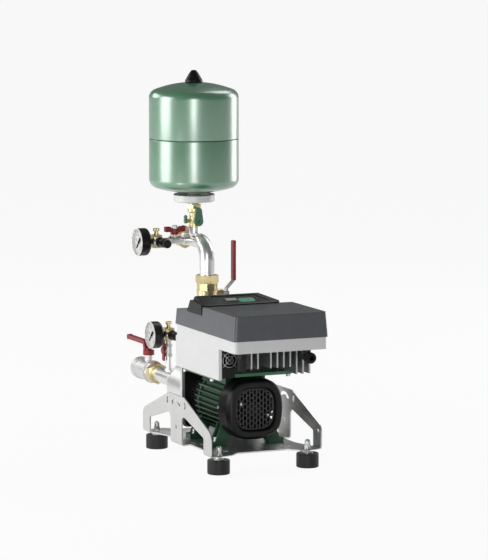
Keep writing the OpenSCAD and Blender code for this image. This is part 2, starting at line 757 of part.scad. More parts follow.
block_w = 20;
block_d = 24;
block_h = 29;
plug_l = 15;
module vent_plug() {
  difference() {
    union() {
      cylinder(d = 9, h = plug_l - 5);
      cylinder(d = 12, h = 3);
      translate([0, 0, plug_l - 6]) knurl(7.2, 6, 3);
    }
    translate([0, 0, plug_l - 2]) cylinder(d = 5, h = 2 + cut);
  }
}
module brass_plugs() {
  color("goldenrod") {
    translate([-upper_block_x, vessel_y, line_z + block_h / 2]) vent_plug();
    translate([0, gauge_y, lower_block_z + block_h / 2]) vent_plug();
    for (s = [-1, 1]) along_y(casing_y1, 0, axis_z + s * 38) {
      hex_nut(17, 8);
      cylinder(d = 19, h = 2);
    }
  }
}

// Converter

module adapter_plate() {
  color("seagreen") difference() {
    union() {
      translate([0, 0, adapter_top_z - adapter_t]) linear_extrude(adapter_t)
        polygon(rounded_rect(-adapter_half_w, adapter_y0, adapter_half_w, conv_y1, 8));
      for (s = [-1, 1], y = adapter_bolt_y)
        translate([s * adapter_bolt_x, y, adapter_top_z - adapter_t])
          cylinder(d = 13, h = adapter_t);
    }
    for (s = [-1, 1], y = adapter_bolt_y)
      translate([s * adapter_bolt_x, y, adapter_top_z - adapter_t - cut])
        cylinder(d = 5.4, h = adapter_t + 2 * cut, $fn = 24);
    translate([0, -20, adapter_top_z - adapter_t - cut])
      cylinder(d = 60, h = adapter_t + 2 * cut);
  }
}
sink_back_y = -70;
module heat_sink() {
  front = sink_y0;
  back = sink_back_y;
  missing = 2;
  base_z = band_z - sink_base_t;
  x1 = sink_x0 + (sink_n - 1) * sink_pitch;
  color("silver") {
    translate([sink_x0 - sink_fin_t / 2, front, base_z])
      cube([x1 - sink_x0 + sink_fin_t, back - front, sink_base_t]);
    for (i = [0:sink_n - 1]) if (i != missing) {
      z0 = i >= sink_n - sink_tall ? sink_tall_z : sink_short_z;
      translate([sink_x0 + i * sink_pitch - sink_fin_t / 2, front, z0])
        cube([sink_fin_t, back - front, base_z - z0 + eps]);
    }
  }
}
tray_floor = band_z + conv_wall;
return_t = 2;
module converter_housing() {
  flange_t = 3;
  flange_w = 18;
  return_w = 7.6;
  inner = conv_half_w - conv_wall;
  rear = conv_y1 - conv_wall;
  color("gainsboro") difference() {
    union() {
      // Tray with its front band
      translate([0, 0, band_z]) linear_extrude(lid_z - band_z)
        polygon(rounded_rect(-conv_half_w, conv_y0, conv_half_w, conv_y1, conv_corner));
      // Side panels and rear wall
      translate([-conv_half_w, panel_y, adapter_top_z])
        cube([2 * conv_half_w, conv_y1 - panel_y, band_z - adapter_top_z + eps]);
    }
    translate([0, 0, tray_floor]) linear_extrude(lid_z)
      polygon(rounded_rect(-conv_half_w + conv_wall, conv_y0 + conv_wall,
                           conv_half_w - conv_wall, conv_y1 - conv_wall,
                           conv_corner - conv_wall));
    // Air duct, open at the front
    translate([-inner, panel_y - cut, adapter_top_z - cut])
      cube([2 * inner, rear - panel_y + cut, band_z - adapter_top_z + cut]);
    // The right side stays open beside the heat sink
    translate([conv_half_w - conv_wall - cut, panel_y - cut, adapter_top_z - cut])
      cube([conv_wall + 2 * cut, sink_back_y - panel_y + cut, band_z - adapter_top_z + cut]);
    translate([gland_x, gland_y, band_z - cut])
      cylinder(r = gland_bore_r, h = conv_wall + 2 * cut, $fn = 32);
  }
  color("gainsboro") {
    // Front edge of the left panel, bent inwards
    translate([-inner - eps, panel_y, adapter_top_z])
      cube([return_w - conv_wall + eps, return_t, band_z - adapter_top_z + eps]);
    // Flanges that stand on the adapter plate
    translate([-inner - eps, adapter_y0 + 2, adapter_top_z])
      cube([flange_w + eps, rear - adapter_y0 - 2 + eps, flange_t]);
    translate([inner - flange_w, sink_back_y, adapter_top_z])
      cube([flange_w + eps, rear - sink_back_y + eps, flange_t]);
    translate([-inner, rear - flange_w, adapter_top_z]) cube([2 * inner, flange_w + eps, flange_t]);
  }
}
// Solid form of the lid, grown or shrunk by d
module lid_form(d) {
  half = conv_half_w + lid_lip + d;
  y0 = conv_y0 - lid_lip - d;
  y1 = conv_y1 + lid_lip + d;
  r = conv_corner + d;
  intersection() {
    hull() {
      translate([0, 0, lid_z]) linear_extrude(1) polygon(rounded_rect(-half, y0, half, y1, r));
      translate([0, 0, lid_top_z + d - 1]) linear_extrude(1)
        polygon(rounded_rect(-half + lid_draft, y0 + lid_draft, half - lid_draft, y1 - lid_draft, r));
    }
    translate([-conv_half_w * 2, 0, 0]) rotate([90, 0, 90]) linear_extrude(conv_half_w * 4)
      polygon([[y0 - cut, lid_z - cut], [y1 + cut, lid_z - cut], [y1 + cut, lid_rear_z + d],
               [lid_slope_y, lid_top_z + d], [y0 - cut, lid_top_z + d]]);
  }
}
ear_t = 7.4;
ear_x0 = -conv_half_w - 1.7;
ear_y0 = -94;
ear_y1 = -12;
ear_z = 339;
module converter_lid() {
  color([0.36, 0.37, 0.38]) difference() {
    lid_form(0);
    translate([0, 0, -cut]) lid_form(-conv_wall);
    // Notch for the control panel's wing
    translate([ear_x0 - 10, 0, 0]) rotate([90, 0, 90]) linear_extrude(10 + ear_t + gap)
      polygon([[ear_y0 - gap, ear_z - gap], [ear_y1 + gap, ear_z - gap],
               [ear_y1 + 8, lid_top_z + cut], [ear_y0 - gap, lid_top_z + cut]]);
    for (p = lid_screws)
      translate([p[0] * (conv_half_w - lid_screw_inset), p[1], lid_top_z - 4])
        cylinder(d = 7, h = 4 + cut, $fn = 24);
  }
}
module power_board() {
  board_t = 2;
  board_z = tray_floor + 6;
  half = conv_half_w - 15;
  can_pitch = half / 4;
  color("darkgreen") {
    translate([-half, conv_y0 + 20, board_z]) cube([2 * half, conv_y1 - conv_y0 - 40, board_t]);
    for (s = [-1, 1], y = [conv_y0 + 40, conv_y1 - 40])
      translate([s * (half - 15), y, tray_floor]) cylinder(d = 8, h = 6 + eps);
    for (i = [-2:2]) translate([i * can_pitch, conv_y0 + 85, board_z + board_t - eps])
      cylinder(d = can_pitch - 4, h = 30);
    translate([-40, adapter_y0, board_z + board_t - eps]) cube([80, 60, 22]);
  }
}
// Display module: a low wedge that faces the front, with a wing over the lid's left side
panel_x0 = -conv_half_w + 4;
panel_x1 = 84;
panel_back_x1 = 46;
panel_front_y = -96;
panel_back_y = -46;
panel_front_z = 361;
panel_back_z = 376;
panel_tilt = atan((panel_back_z - panel_front_z) / (panel_back_y - panel_front_y));
// Local Z stands on the module's tilted face, at height h, local Y runs up the tilt
module on_panel(h) {
  translate([0, panel_front_y + 3, panel_front_z]) rotate([panel_tilt, 0, 0])
    translate([0, 0, h]) children();
}
module pane_outline(d) {
  face_l = (panel_back_y - panel_front_y - 3) / cos(panel_tilt);
  polygon(rounded([[-72 + d, 5 + d, 2], [58 - d, 5 + d, 2], [34 - d, face_l - 6 - d, 2],
                   [-72 + d, face_l - 6 - d, 2]]));
}
module control_panel() {
  back_run = 24;
  lid_slope = (lid_rear_z - lid_top_z) / (conv_y1 + lid_lip - lid_slope_y);
  under_y = panel_back_y + back_run;
  color([0.16, 0.16, 0.16]) {
    difference() {
      intersection() {
        translate([panel_x0, 0, 0]) rotate([90, 0, 90]) linear_extrude(panel_x1 - panel_x0)
          polygon([[panel_front_y, lid_top_z + gap], [lid_slope_y, lid_top_z + gap],
            [under_y, lid_top_z + (under_y - lid_slope_y) * lid_slope + gap],
            [panel_back_y + 6, panel_back_z - 3], [panel_back_y, panel_back_z],
            [panel_front_y + 3, panel_front_z], [panel_front_y, panel_front_z - 1.5]]);
        linear_extrude(panel_back_z + cut) polygon(rounded([
          [panel_x0, panel_front_y, 2], [panel_x1, panel_front_y, 6],
          [panel_back_x1, panel_back_y, 8], [panel_back_x1 - 6, under_y, 3],
          [panel_x0, under_y, 3]]));
      }
      // Seat of the display window
      on_panel(-1.4) linear_extrude(10) pane_outline(0);
    }
    // Wing in the lid's notch
    translate([ear_x0, 0, 0]) rotate([90, 0, 90]) linear_extrude(ear_t)
      polygon([[ear_y0, ear_z], [ear_y1, ear_z], [ear_y1 - 18, panel_front_z + 5],
               [ear_y1 - 32, panel_front_z + 5], [ear_y0, panel_front_z]]);
  }
}
module display_window() {
  color([0.2, 0.21, 0.22]) on_panel(-1.4) linear_extrude(0.9) pane_outline(0.1);
}

// Cooling fan of the converter

axial_x = -conv_half_w + 6.4 + fan_w / 2;
axial_y0 = panel_y + return_t + gap;
fan_open_r = fan_w / 2 - 1.6;
pin_r = 1.5;
module axial_fan_frame() {
  wall_t = 2;
  wall_x0 = -conv_half_w + conv_wall - axial_x;
  color([0.12, 0.12, 0.12]) along_y(axial_y0, axial_x, fan_z) {
    difference() {
      union() {
        linear_extrude(fan_l) polygon(rounded_rect(-fan_w / 2, -fan_w / 2, fan_w / 2, fan_w / 2, 3));
        // Wall behind the fan, from the housing's side to the heat sink
        translate([wall_x0, fan_z - band_z, fan_l - eps])
          cube([fan_w / 2 + 2 - wall_x0, band_z - adapter_top_z - gap, wall_t + eps]);
      }
      translate([0, 0, -cut]) cylinder(r = fan_open_r, h = fan_l + wall_t + 2 * cut);
    }
    translate([0, 0, fan_l - 2.5]) {
      cylinder(r = 9, h = 2.5);
      for (a = [0:90:270]) rotate([0, 0, a]) translate([0, -1.2, 0]) cube([fan_open_r + 1, 2.4, 2.5]);
    }
    translate([0, 0, 6]) cylinder(r = pin_r, h = fan_l - 6 - eps, $fn = 32);
  }
}
module axial_fan_rotor() {
  blade_n = 7;
  hub_l = fan_l - 2.5 - gap - 2;
  color([0.18, 0.18, 0.18]) along_y(axial_y0 + 2, axial_x, fan_z) difference() {
    union() {
      cylinder(r = 9, h = hub_l);
      for (i = [0:blade_n - 1]) rotate([0, 0, i * 360 / blade_n])
        translate([7, 0, hub_l / 2]) rotate([50, 0, 0])
          translate([0, -6.5, -0.7]) cube([fan_open_r - 8.5, 13, 1.4]);
    }
    translate([0, 0, 3]) cylinder(r = pin_r + run_fit, h = hub_l, $fn = 32);
  }
}
module axial_fan_guard() {
  wire = 1.2;
  color("silver") along_y(axial_y0 - wire, axial_x, fan_z) {
    for (r = [8.5, 15.5]) tube(r + wire / 2, r - wire / 2, wire);
    intersection() {
      union() for (a = [45, 135]) rotate([0, 0, a]) translate([-fan_w, -wire / 2, 0])
        cube([2 * fan_w, wire, wire]);
      cylinder(r = 20.5, h = wire);
    }
  }
}
gland_x = -65;
gland_y = -210;
gland_bore_r = 5.5;
gland_l = 47;
elbow_x = 90;
elbow_y = sink_y0 - 13;
elbow_z = band_z - 25;
module cable_glands() {
  color([0.1, 0.1, 0.1]) {
    // Straight gland under the front band
    translate([gland_x, gland_y, 0]) difference() {
      union() {
        translate([0, 0, band_z - 20]) hex_rod(21, 20);
        translate([0, 0, band_z - 46]) knurl(9.6, 24);
        translate([0, 0, band_z - gland_l]) cylinder(r = 8.6, h = gland_l - 19);
      }
      translate([0, 0, band_z - gland_l - cut]) cylinder(r = gland_bore_r, h = gland_l);
    }
    // Elbow gland at the right end
    difference() {
      union() {
        translate([elbow_x, elbow_y, elbow_z]) cylinder(r = 8.5, h = band_z - elbow_z);
        translate([elbow_x, elbow_y, elbow_z]) sphere(r = 10.8);
        translate([elbow_x, elbow_y, elbow_z]) rotate([90, 0, 0]) {
          cylinder(r = 10.8, h = 12);
          translate([0, 0, 11]) knurl(12.4, 12);
          translate([0, 0, 20]) cylinder(r = 9.5, h = 5);
        }
      }
      translate([elbow_x, elbow_y - 9, elbow_z]) rotate([90, 0, 0]) cylinder(r = 6, h = 20);
    }
  }
}

// Discharge line

check_z1 = 300;
module check_valve_body() {
  color("goldenrod") translate([0, discharge_y, 0]) difference() {
    union() {
      translate([0, 0, port_top]) hex_nut(41, 20);
      translate([0, 0, port_top + 20 - eps]) cylinder(r = 22, h = check_z1 - port_top - 40 + 2 * eps);
      translate([0, 0, check_z1 - 20]) hex_nut(41, 20);
      translate([0, 0, (port_top + check_z1) / 2 - 8]) cylinder(r = 24.5, h = 16);
    }
    translate([0, 0, port_top - cut]) cylinder(r = pipe_bore, h = check_z1 - port_top + 2 * cut);
  }
}
ball_r = 19;
ball_bore = 12.5;
stem_r = 5;
// Ball with its bore along local Z and its stem along local X
module valve_ball(stem_l) {
  difference() {
    union() {
      sphere(r = ball_r);
      rotate([0, 90, 0]) cylinder(r = stem_r, h = stem_l);
    }
    translate([0, 0, -ball_r - cut]) cylinder(r = ball_bore, h = 2 * ball_r + 2 * cut);
  }
}
// Body around a ball: bore along local Z, stem boss along local X
module valve_cavity(z0, z1, boss_l) {
  sphere(r = ball_r + gap);
  translate([0, 0, z0 - cut]) cylinder(r = ball_bore, h = z1 - z0 + 2 * cut);
  rotate([0, 90, 0]) cylinder(r = stem_r + run_fit, h = boss_l + cut);
}
boss_l = 38;
module discharge_valve_body() {
  low = check_z1 - valve_z;
  high = union_z - valve_z;
  color("goldenrod") translate([0, discharge_y, valve_z]) difference() {
    union() {
      translate([0, 0, low]) hex_nut(44, 18);
      translate([0, 0, low + 17]) cylinder(r = 22, h = 14);
      translate([0, 0, low + 30]) cylinder(r = 23.4, h = 8 - low - 30);
      translate([0, 0, 5]) cylinder(r = 24.4, h = 3);
      translate([0, 0, 7]) rotate([0, 0, 22.5]) cylinder(d = 47, h = high - 7, $fn = 8);
      rotate([0, 90, 0]) cylinder(r = 9, h = boss_l);
    }
    valve_cavity(low, high, boss_l);
  }
}
module discharge_valve_ball() {
  color("silver") translate([0, discharge_y, valve_z]) valve_ball(boss_l + 14);
}
lever_x0 = boss_l + 7;
lever_x1 = 64;
strip_t = 2.6;
strip_w = 15;
lever_top = 119;
sleeve_z = 28;
// Bent strip of the discharge lever, from its hub up to the sleeve
module discharge_lever() {
  color("lightgray") translate([0, discharge_y, valve_z]) difference() {
    union() {
      translate([lever_x0, 0, 0]) rotate([0, 90, 0]) cylinder(d = 22, h = strip_t);
      translate([0, strip_w / 2, 0]) rotate([90, 0, 0]) linear_extrude(strip_w) polygon(rounded([
        [lever_x0, 0, 0], [lever_x0, 9, 2], [lever_x1, sleeve_z, 2], [lever_x1, lever_top - 4, 0],
        [lever_x1 + strip_t, lever_top - 4, 0], [lever_x1 + strip_t, sleeve_z - 1, 2],
        [lever_x0 + strip_t, 8, 2], [lever_x0 + strip_t, 0, 0]]));
      // Hub nut
      translate([lever_x0 + strip_t - eps, 0, 0]) rotate([0, 90, 0]) hex_nut(14, 5);
    }
    translate([lever_x0 - cut, 0, 0]) rotate([0, 90, 0])
      cylinder(r = stem_r + run_fit, h = strip_t + 8);
  }
}
module discharge_grip() {
  wall = 2.2;
  half_w = (strip_w + wall) / 2;
  sleeve_l = lever_top - sleeve_z;
  color("firebrick") translate([lever_x1 + strip_t / 2, discharge_y, valve_z + sleeve_z]) difference() {
    intersection() {
      linear_extrude(sleeve_l)
        polygon(rounded_rect(-strip_t / 2 - wall, -half_w, strip_t / 2 + wall, half_w, 2.4));
      translate([-strip_w, 0, 0]) rotate([90, 0, 90]) linear_extrude(2 * strip_w) polygon(rounded([
        [-half_w, 0, 1], [half_w, 0, 1], [half_w, sleeve_l, 7], [-half_w, sleeve_l, 7]]));
    }
    translate([-strip_t / 2 - run_fit, -strip_w / 2 - run_fit, -cut])
      cube([strip_t + 2 * run_fit, strip_w + 2 * run_fit, sleeve_l - 4 + cut + run_fit]);
  }
}
collar_r = 20;
module union_nut() {
  difference() {
    hex_nut(union_af, union_l);
    translate([0, 0, union_l - 4]) cylinder(r = pipe_r + gap, h = 4 + cut);
    translate([0, 0, -cut]) cylinder(r = collar_r + run_fit, h = union_l - 4 + cut);
  }
}
module union_nuts() {
  color("gold") {
    translate([0, discharge_y, union_z]) rotate([0, 0, 30]) union_nut();
    along_y(suction_nut_y + union_l) rotate([180, 0, 0]) rotate([0, 0, 30]) union_nut();
    along_y(outlet_y + union_l, 0, line_z) rotate([180, 0, 0]) rotate([0, 0, 30]) union_nut();
  }
}
bend_z = line_z - bend_r;
socket_r = 12.2;
socket_z = 499;
branch_x = 27;
module discharge_pipe_form(r, extra) {
  // Vertical leg, bend and level leg
  translate([0, discharge_y, union_z + 6 - extra]) cylinder(r = r, h = bend_z - union_z - 6 + extra);
  translate([0, discharge_y + bend_r, bend_z]) rotate([90, 0, -90])
    rotate_extrude(angle = 90) translate([bend_r, 0]) circle(r = r);
  along_y(discharge_y + bend_r, 0, line_z)
    cylinder(r = r, h = outlet_y + union_l - 6 - discharge_y - bend_r + extra);
}
module discharge_pipe() {
  color("lightgray") difference() {
    union() {
      discharge_pipe_form(pipe_r, 0);
      // Collars held by the union nuts
      translate([0, discharge_y, union_z]) cylinder(r = collar_r, h = union_l - 4);
      along_y(outlet_y + 4, 0, line_z) cylinder(r = collar_r, h = union_l - 4);
      // Socket under the vessel and branch to the gauge
      translate([0, vessel_y, line_z]) cylinder(r = socket_r, h = socket_z - line_z);
      along_minus_x(0, vessel_y, line_z) cylinder(r = socket_r, h = branch_x);
    }
    discharge_pipe_form(pipe_bore, 8);
    translate([0, vessel_y, line_z]) cylinder(r = 8, h = socket_z - line_z + cut);
    along_minus_x(0, vessel_y, line_z) cylinder(r = 6, h = branch_x + cut);
  }
}
module outlet_union() {
  y0 = outlet_y + union_l;
  color("goldenrod") difference() {
    union() {
      along_y(y0, 0, line_z) hex_nut(41, 12);
      along_y(y0 + 11, 0, line_z) cylinder(r = outlet_r, h = outlet_end_y - y0 - 11);
    }
    along_y(y0 - cut, 0, line_z) cylinder(r = pipe_bore - 1, h = outlet_end_y - y0 + 2 * cut);
  }
}

// Small stop cocks, sensor blocks, sensors and gauges

cock_ball_r = 6;
cock_stem_r = 3;
cock_bore = 3.5;
cock_half_l = 15;
cock_nut_l = 7;
nipple_r = 6.75;
cock_l0 = upper_cock_x - branch_x;
upper_cock_l = upper_block_x - block_w / 2 - branch_x;
upper_boss = 13.6;
lower_boss = 10;
lower_stub_z = lower_cock_z - cock_half_l;
lower_cock_l = lower_block_z - block_h / 2 - lower_stub_z;
// Cock body along local Z from 0 to l, ball at c, stem along local -X or +X
module cock_body(l, c, dir, boss) {
  difference() {
    union() {
      cylinder(r = nipple_r, h = l);
      translate([0, 0, c - cock_half_l]) hex_nut(17, cock_nut_l);
      translate([0, 0, c - cock_half_l + cock_nut_l - eps])
        cylinder(r = 8.4, h = 2 * (cock_half_l - cock_nut_l + eps));
      translate([0, 0, c + cock_half_l - cock_nut_l]) hex_nut(17, cock_nut_l);
      translate([0, 0, c]) rotate([0, dir * 90, 0]) cylinder(r = 5.4, h = boss);
    }
    translate([0, 0, -cut]) cylinder(r = cock_bore, h = l + 2 * cut);
    translate([0, 0, c]) sphere(r = cock_ball_r + gap);
    translate([0, 0, c]) rotate([0, dir * 90, 0]) cylinder(r = cock_stem_r + run_fit, h = boss + cut);
  }
}
module cock_bodies() {
  color("silver") {
    along_minus_x(-branch_x, vessel_y, line_z) cock_body(upper_cock_l, cock_l0, 1, upper_boss);
    translate([0, gauge_y, lower_stub_z]) cock_body(lower_cock_l, cock_half_l, -1, lower_boss);
  }
}
// Ball, stem and two-winged handle; local Z is the stem's axis, wings along local X
module cock_handle(boss, hub_h, lift, wing_h) {
  hub_z = boss + gap;
  half = 24.5;
  difference() {
    union() {
      sphere(r = cock_ball_r);
      cylinder(r = cock_stem_r, h = hub_z + eps);
      translate([0, 0, hub_z]) cylinder(r = 8.8, h = hub_h);
      for (s = [0, 1]) mirror([s, 0, 0]) translate([0, 5, 0]) rotate([90, 0, 0]) linear_extrude(10)
        polygon(rounded([[6, hub_z, 0], [11, hub_z + lift, 1], [half, hub_z + lift, 1.5],
          [half, hub_z + lift + wing_h, 1.5], [12, hub_z + lift + wing_h, 1],
          [6, hub_z + min(hub_h, lift + wing_h) - eps, 0]]));
    }
    rotate([0, 90, 0]) translate([0, 0, -cock_ball_r - cut])
      cylinder(r = cock_bore, h = 2 * cock_ball_r + 2 * cut);
  }
}
module upper_cock_handle() {
  color("firebrick") translate([-upper_cock_x, vessel_y, line_z]) cock_handle(upper_boss, 13, 6, 12);
}
module lower_cock_handle() {
  color("firebrick") along_minus_x(0, gauge_y, lower_cock_z) cock_handle(lower_boss, 6, 0.6, 3.8);
}
module sensor_block() {
  difference() {
    translate([-block_w / 2, -block_d / 2, -block_h / 2]) cube([block_w, block_d, block_h]);
    translate([0, 0, -block_h]) cylinder(r = 3, h = block_h);
    rotate([90, 0, 0]) cylinder(r = 3, h = block_d);
    rotate([0, -90, 0]) cylinder(r = 3, h = block_w);
  }
}
module sensor_blocks() {
  color("goldenrod") {
    translate([-upper_block_x, vessel_y, line_z]) sensor_block();
    translate([0, gauge_y, lower_block_z]) sensor_block();
  }
}
module pressure_sensor() {
  rotate([90, 0, 0]) translate([0, 0, block_d / 2]) {
    hex_nut(22, 9);
    translate([0, 0, 8]) cylinder(d = 21, h = 6);
    translate([0, 0, 13]) cylinder(d = 17, h = 12);
    translate([0, 0, 24]) cylinder(d = 20, h = 16);
    translate([0, 0, 39]) cylinder(d = 15, h = 5);
    translate([0, 0, 43]) knurl(9.5, 14);
    translate([0, 0, 56]) cylinder(d = 12, h = 6);
  }
}
module pressure_sensors() {
  color([0.1, 0.1, 0.1]) {
    translate([-upper_block_x, vessel_y, line_z]) pressure_sensor();
    translate([0, gauge_y, lower_block_z]) pressure_sensor();
  }
}
// Gauges: local Z points out of the face, z = 0 at the back of the case
gauge_r = gauge_d / 2;
gauge_stub = 12;
dial_z = gauge_l - 6.5;
arbor_r = 1.5;
module at_gauges() {
  along_minus_x(-upper_block_x - block_w / 2 - gauge_stub, vessel_y, line_z) children();
  along_minus_x(-block_w / 2 - gauge_stub, gauge_y, lower_block_z) children();
}
module gauge_cases() {
  color([0.1, 0.1, 0.1]) at_gauges() difference() {
    union() {
      rotate_extrude() polygon(concat([[0, 0], [gauge_r - 7, 0]],
        [for (i = [0:4]) [gauge_r - 7 + 7 * sin(22.5 * i), 7 - 7 * cos(22.5 * i)]],
        [[gauge_r, gauge_l - 1], [gauge_r - 1, gauge_l], [0, gauge_l]]));
      translate([0, 0, -gauge_stub]) cylinder(r = 6.5, h = gauge_stub + eps);
      translate([0, 0, -gauge_stub + 2]) hex_nut(14, 8);
    }
    translate([0, 0, 4]) cylinder(r = gauge_r - 2.2, h = gauge_l);
  }
}
module gauge_dials() {
  color("white") at_gauges() difference() {
    union() {
      translate([0, 0, dial_z - 1.5]) cylinder(r = gauge_r - 2.2 - run_fit, h = 1.5);
      translate([0, 0, 4]) cylinder(r = 8, h = dial_z - 5);
    }
    translate([0, 0, 6]) cylinder(r = arbor_r + run_fit, h = dial_z, $fn = 32);
  }
}
module gauge_glasses() {
  color([0.8, 0.9, 0.9, 0.4]) at_gauges() translate([0, 0, gauge_l - 2.4])
    cylinder(r = gauge_r - 2.2 - run_fit, h = 2);
}
module pointer() {
  needle_l = 21;
  tail_l = 9;
  translate([0, 0, 7]) cylinder(r = arbor_r, h = dial_z - 7 + 2.4, $fn = 32);
  translate([0, 0, dial_z + 0.6]) {
    cylinder(r = 3, h = 1.8);
    linear_extrude(1.2) polygon([[-tail_l, -1.8], [-tail_l, 1.8], [0, 1.6], [needle_l, 0.4],
                                 [needle_l, -0.4], [0, -1.6]]);
  }
}
pointer_rest = 135;
module upper_pointer() {
  color([0.1, 0.1, 0.1])
    along_minus_x(-upper_block_x - block_w / 2 - gauge_stub, vessel_y, line_z)
      rotate([0, 0, pointer_rest]) pointer();
}
module lower_pointer() {
  color([0.1, 0.1, 0.1]) along_minus_x(-block_w / 2 - gauge_stub, gauge_y, lower_block_z)
    rotate([0, 0, pointer_rest]) pointer();
}

// Suction line

module suction_pipe() {
  y0 = suction_port_y1;
  tee_r = 19;
  color("lightgray") difference() {
    union() {
      along_y(y0) cylinder(r = pipe_r, h = suction_nut_y + union_l - 6 - y0);
      along_y(suction_nut_y + 4) cylinder(r = collar_r, h = union_l - 4);
      along_y(gauge_y - 32) cylinder(r = tee_r, h = 64);
      translate([0, gauge_y, axis_z]) cylinder(r = nipple_r + 3, h = tee_r + 3);
      translate([0, gauge_y, axis_z]) cylinder(r = nipple_r, h = lower_stub_z - axis_z);
    }
    along_y(y0 - cut) cylinder(r = pipe_bore, h = suction_nut_y + union_l - y0 + 2 * cut);
    translate([0, gauge_y, axis_z]) cylinder(r = cock_bore, h = lower_stub_z - axis_z + cut);
  }
}
suction_boss = 37;
suction_stem_l = 12;
module suction_valve_body() {
  low = suction_nut_y + union_l - suction_valve_y;
  high = suction_end_y - suction_valve_y;
  color("silver") along_y(suction_valve_y) difference() {
    union() {
      translate([0, 0, low]) hex_nut(44, 14);
      translate([0, 0, low + 13]) cylinder(r = 27, h = 5);
      translate([0, 0, low + 17]) cylinder(r = 24.5, h = high - low - 31);
      translate([0, 0, high - 20]) cylinder(r = 26.5, h = 20);
      // Boss for the stem, pointing up
      rotate([90, 0, 0]) cylinder(r = 9.5, h = suction_boss);
    }
    sphere(r = ball_r + gap);
    translate([0, 0, low - cut]) cylinder(r = ball_bore, h = high - low + 2 * cut);
    translate([0, 0, high - suction_thread_l]) cylinder(r = suction_thread_r, h = suction_thread_l + cut);
    rotate([90, 0, 0]) cylinder(r = stem_r + run_fit, h = suction_boss + cut);
  }
}
module suction_valve_ball() {
  color("silver") translate([0, suction_valve_y, axis_z]) rotate([-90, 0, 0]) rotate([0, 0, -90])
    valve_ball(suction_boss + suction_stem_l);
}
// Coated lever: round hub on the stem, rising neck and a long arm with a round end
module suction_lever() {
  hub_z = axis_z + suction_boss + gap;
  hub_h = 11;
  hub_r = 13.5;
  arm_z = 194;
  arm_t = 5;
  arm_l = 121;
  arm_w = 11;
  knob_r = 6.5;
  color("firebrick") translate([0, suction_valve_y, 0]) difference() {
    union() {
      translate([0, 0, hub_z]) cylinder(r = hub_r, h = hub_h);
      translate([-arm_w / 2, 0, 0]) rotate([90, 0, 90]) linear_extrude(arm_w) polygon(rounded([
        [8, hub_z + 0.5, 0], [18, hub_z + 0.5, 3], [24, arm_z - arm_t, 4],
        [arm_l, arm_z - arm_t, 0], [arm_l, arm_z + arm_t, 0], [19, arm_z + arm_t, 4],
        [8, hub_z + hub_h, 2]]));
      translate([-arm_w / 2, arm_l, arm_z]) rotate([0, 90, 0]) cylinder(r = knob_r, h = arm_w);
      translate([0, 0, hub_z + hub_h - eps]) hex_nut(14, 4);
    }
    translate([0, 0, hub_z - cut]) cylinder(r = stem_r + run_fit, h = suction_stem_l - gap + cut);
  }
}

// Diaphragm vessel

module at_vessel(z = 0) translate([0, vessel_y, z]) children();
neck_r = 12;
neck_z = 552.6;
dome_h = vessel_z1 - vessel_upper_z;
bottom_h = vessel_lower_z - vessel_z0;
valve_seat_r = 4;
// Outline of one half shell from its rim to the axis, with its wall inside
function shell_profile(a, straight, h, k, wall, hole) =
  let(outer = concat([[a, 0]], shifted(head(a, h, k), 0, straight)),
      inner = concat([[a - wall, 0]], shifted(head(a - wall, h - wall, k - wall), 0, straight)),
      o = [for (p = outer) if (p[0] > hole + 1) p], i = [for (p = inner) if (p[0] > hole + 1) p],
      top = straight + h)
  concat(o, [[hole, top], [hole, top - wall]], reversed(i));
module vessel_shells() {
  color("seagreen") {
    at_vessel(vessel_seam_z + seam_gap / 2) rotate_extrude($fn = 96)
      polygon(shell_profile(vessel_r, vessel_upper_z - vessel_seam_z - seam_gap / 2, dome_h,
                            knuckle_r, vessel_wall, valve_seat_r));
    at_vessel(vessel_seam_z - seam_gap / 2) rotate([180, 0, 0]) rotate_extrude($fn = 96)
      polygon(shell_profile(vessel_r, vessel_seam_z - seam_gap / 2 - vessel_lower_z, bottom_h,
                            knuckle_r, vessel_wall, neck_r - 3));
    // Neck, welded into the lower shell
    at_vessel(neck_z) tube(neck_r, neck_r - 3, vessel_z0 - neck_z + 1);
  }
}
// Rubber diaphragm with the bead that the two shells clamp
module vessel_diaphragm() {
  bead = seam_gap - 2 * run_fit;
  sag = 60;
  inner = vessel_r - vessel_wall - gap;
  color([0.08, 0.08, 0.08]) at_vessel(vessel_seam_z) rotate_extrude($fn = 96)
    polygon(concat([[vessel_r - 1, -bead / 2], [vessel_r - 1, bead / 2], [inner - 3, bead / 2]],
      [for (i = [1:12]) [(inner - 3) * cos(7.5 * i), bead / 2 - sag * sin(7.5 * i)]],
      reversed([for (i = [1:12]) [inner * cos(7.5 * i), -bead / 2 - (sag + 2) * sin(7.5 * i)]]),
      [[inner, -bead / 2]]));
}
module vessel_ring() {
  ring_z = 558.6;
  ring_top = 575.5;
  color("white") at_vessel() rotate_extrude() polygon([
    [neck_r + gap, ring_z], [ring_r - 3, ring_z], [ring_r, ring_z + 2], [ring_r, ring_top],
    [ring_r - 3, ring_top], [ring_r - 3, ring_z + 4], [neck_r + 4, ring_z + 4],
    [neck_r + 4, vessel_z0], [neck_r + gap, vessel_z0]]);
}
flow_boss = 22;
flow_ball_r = 8.5;
drain_l = 18.5;
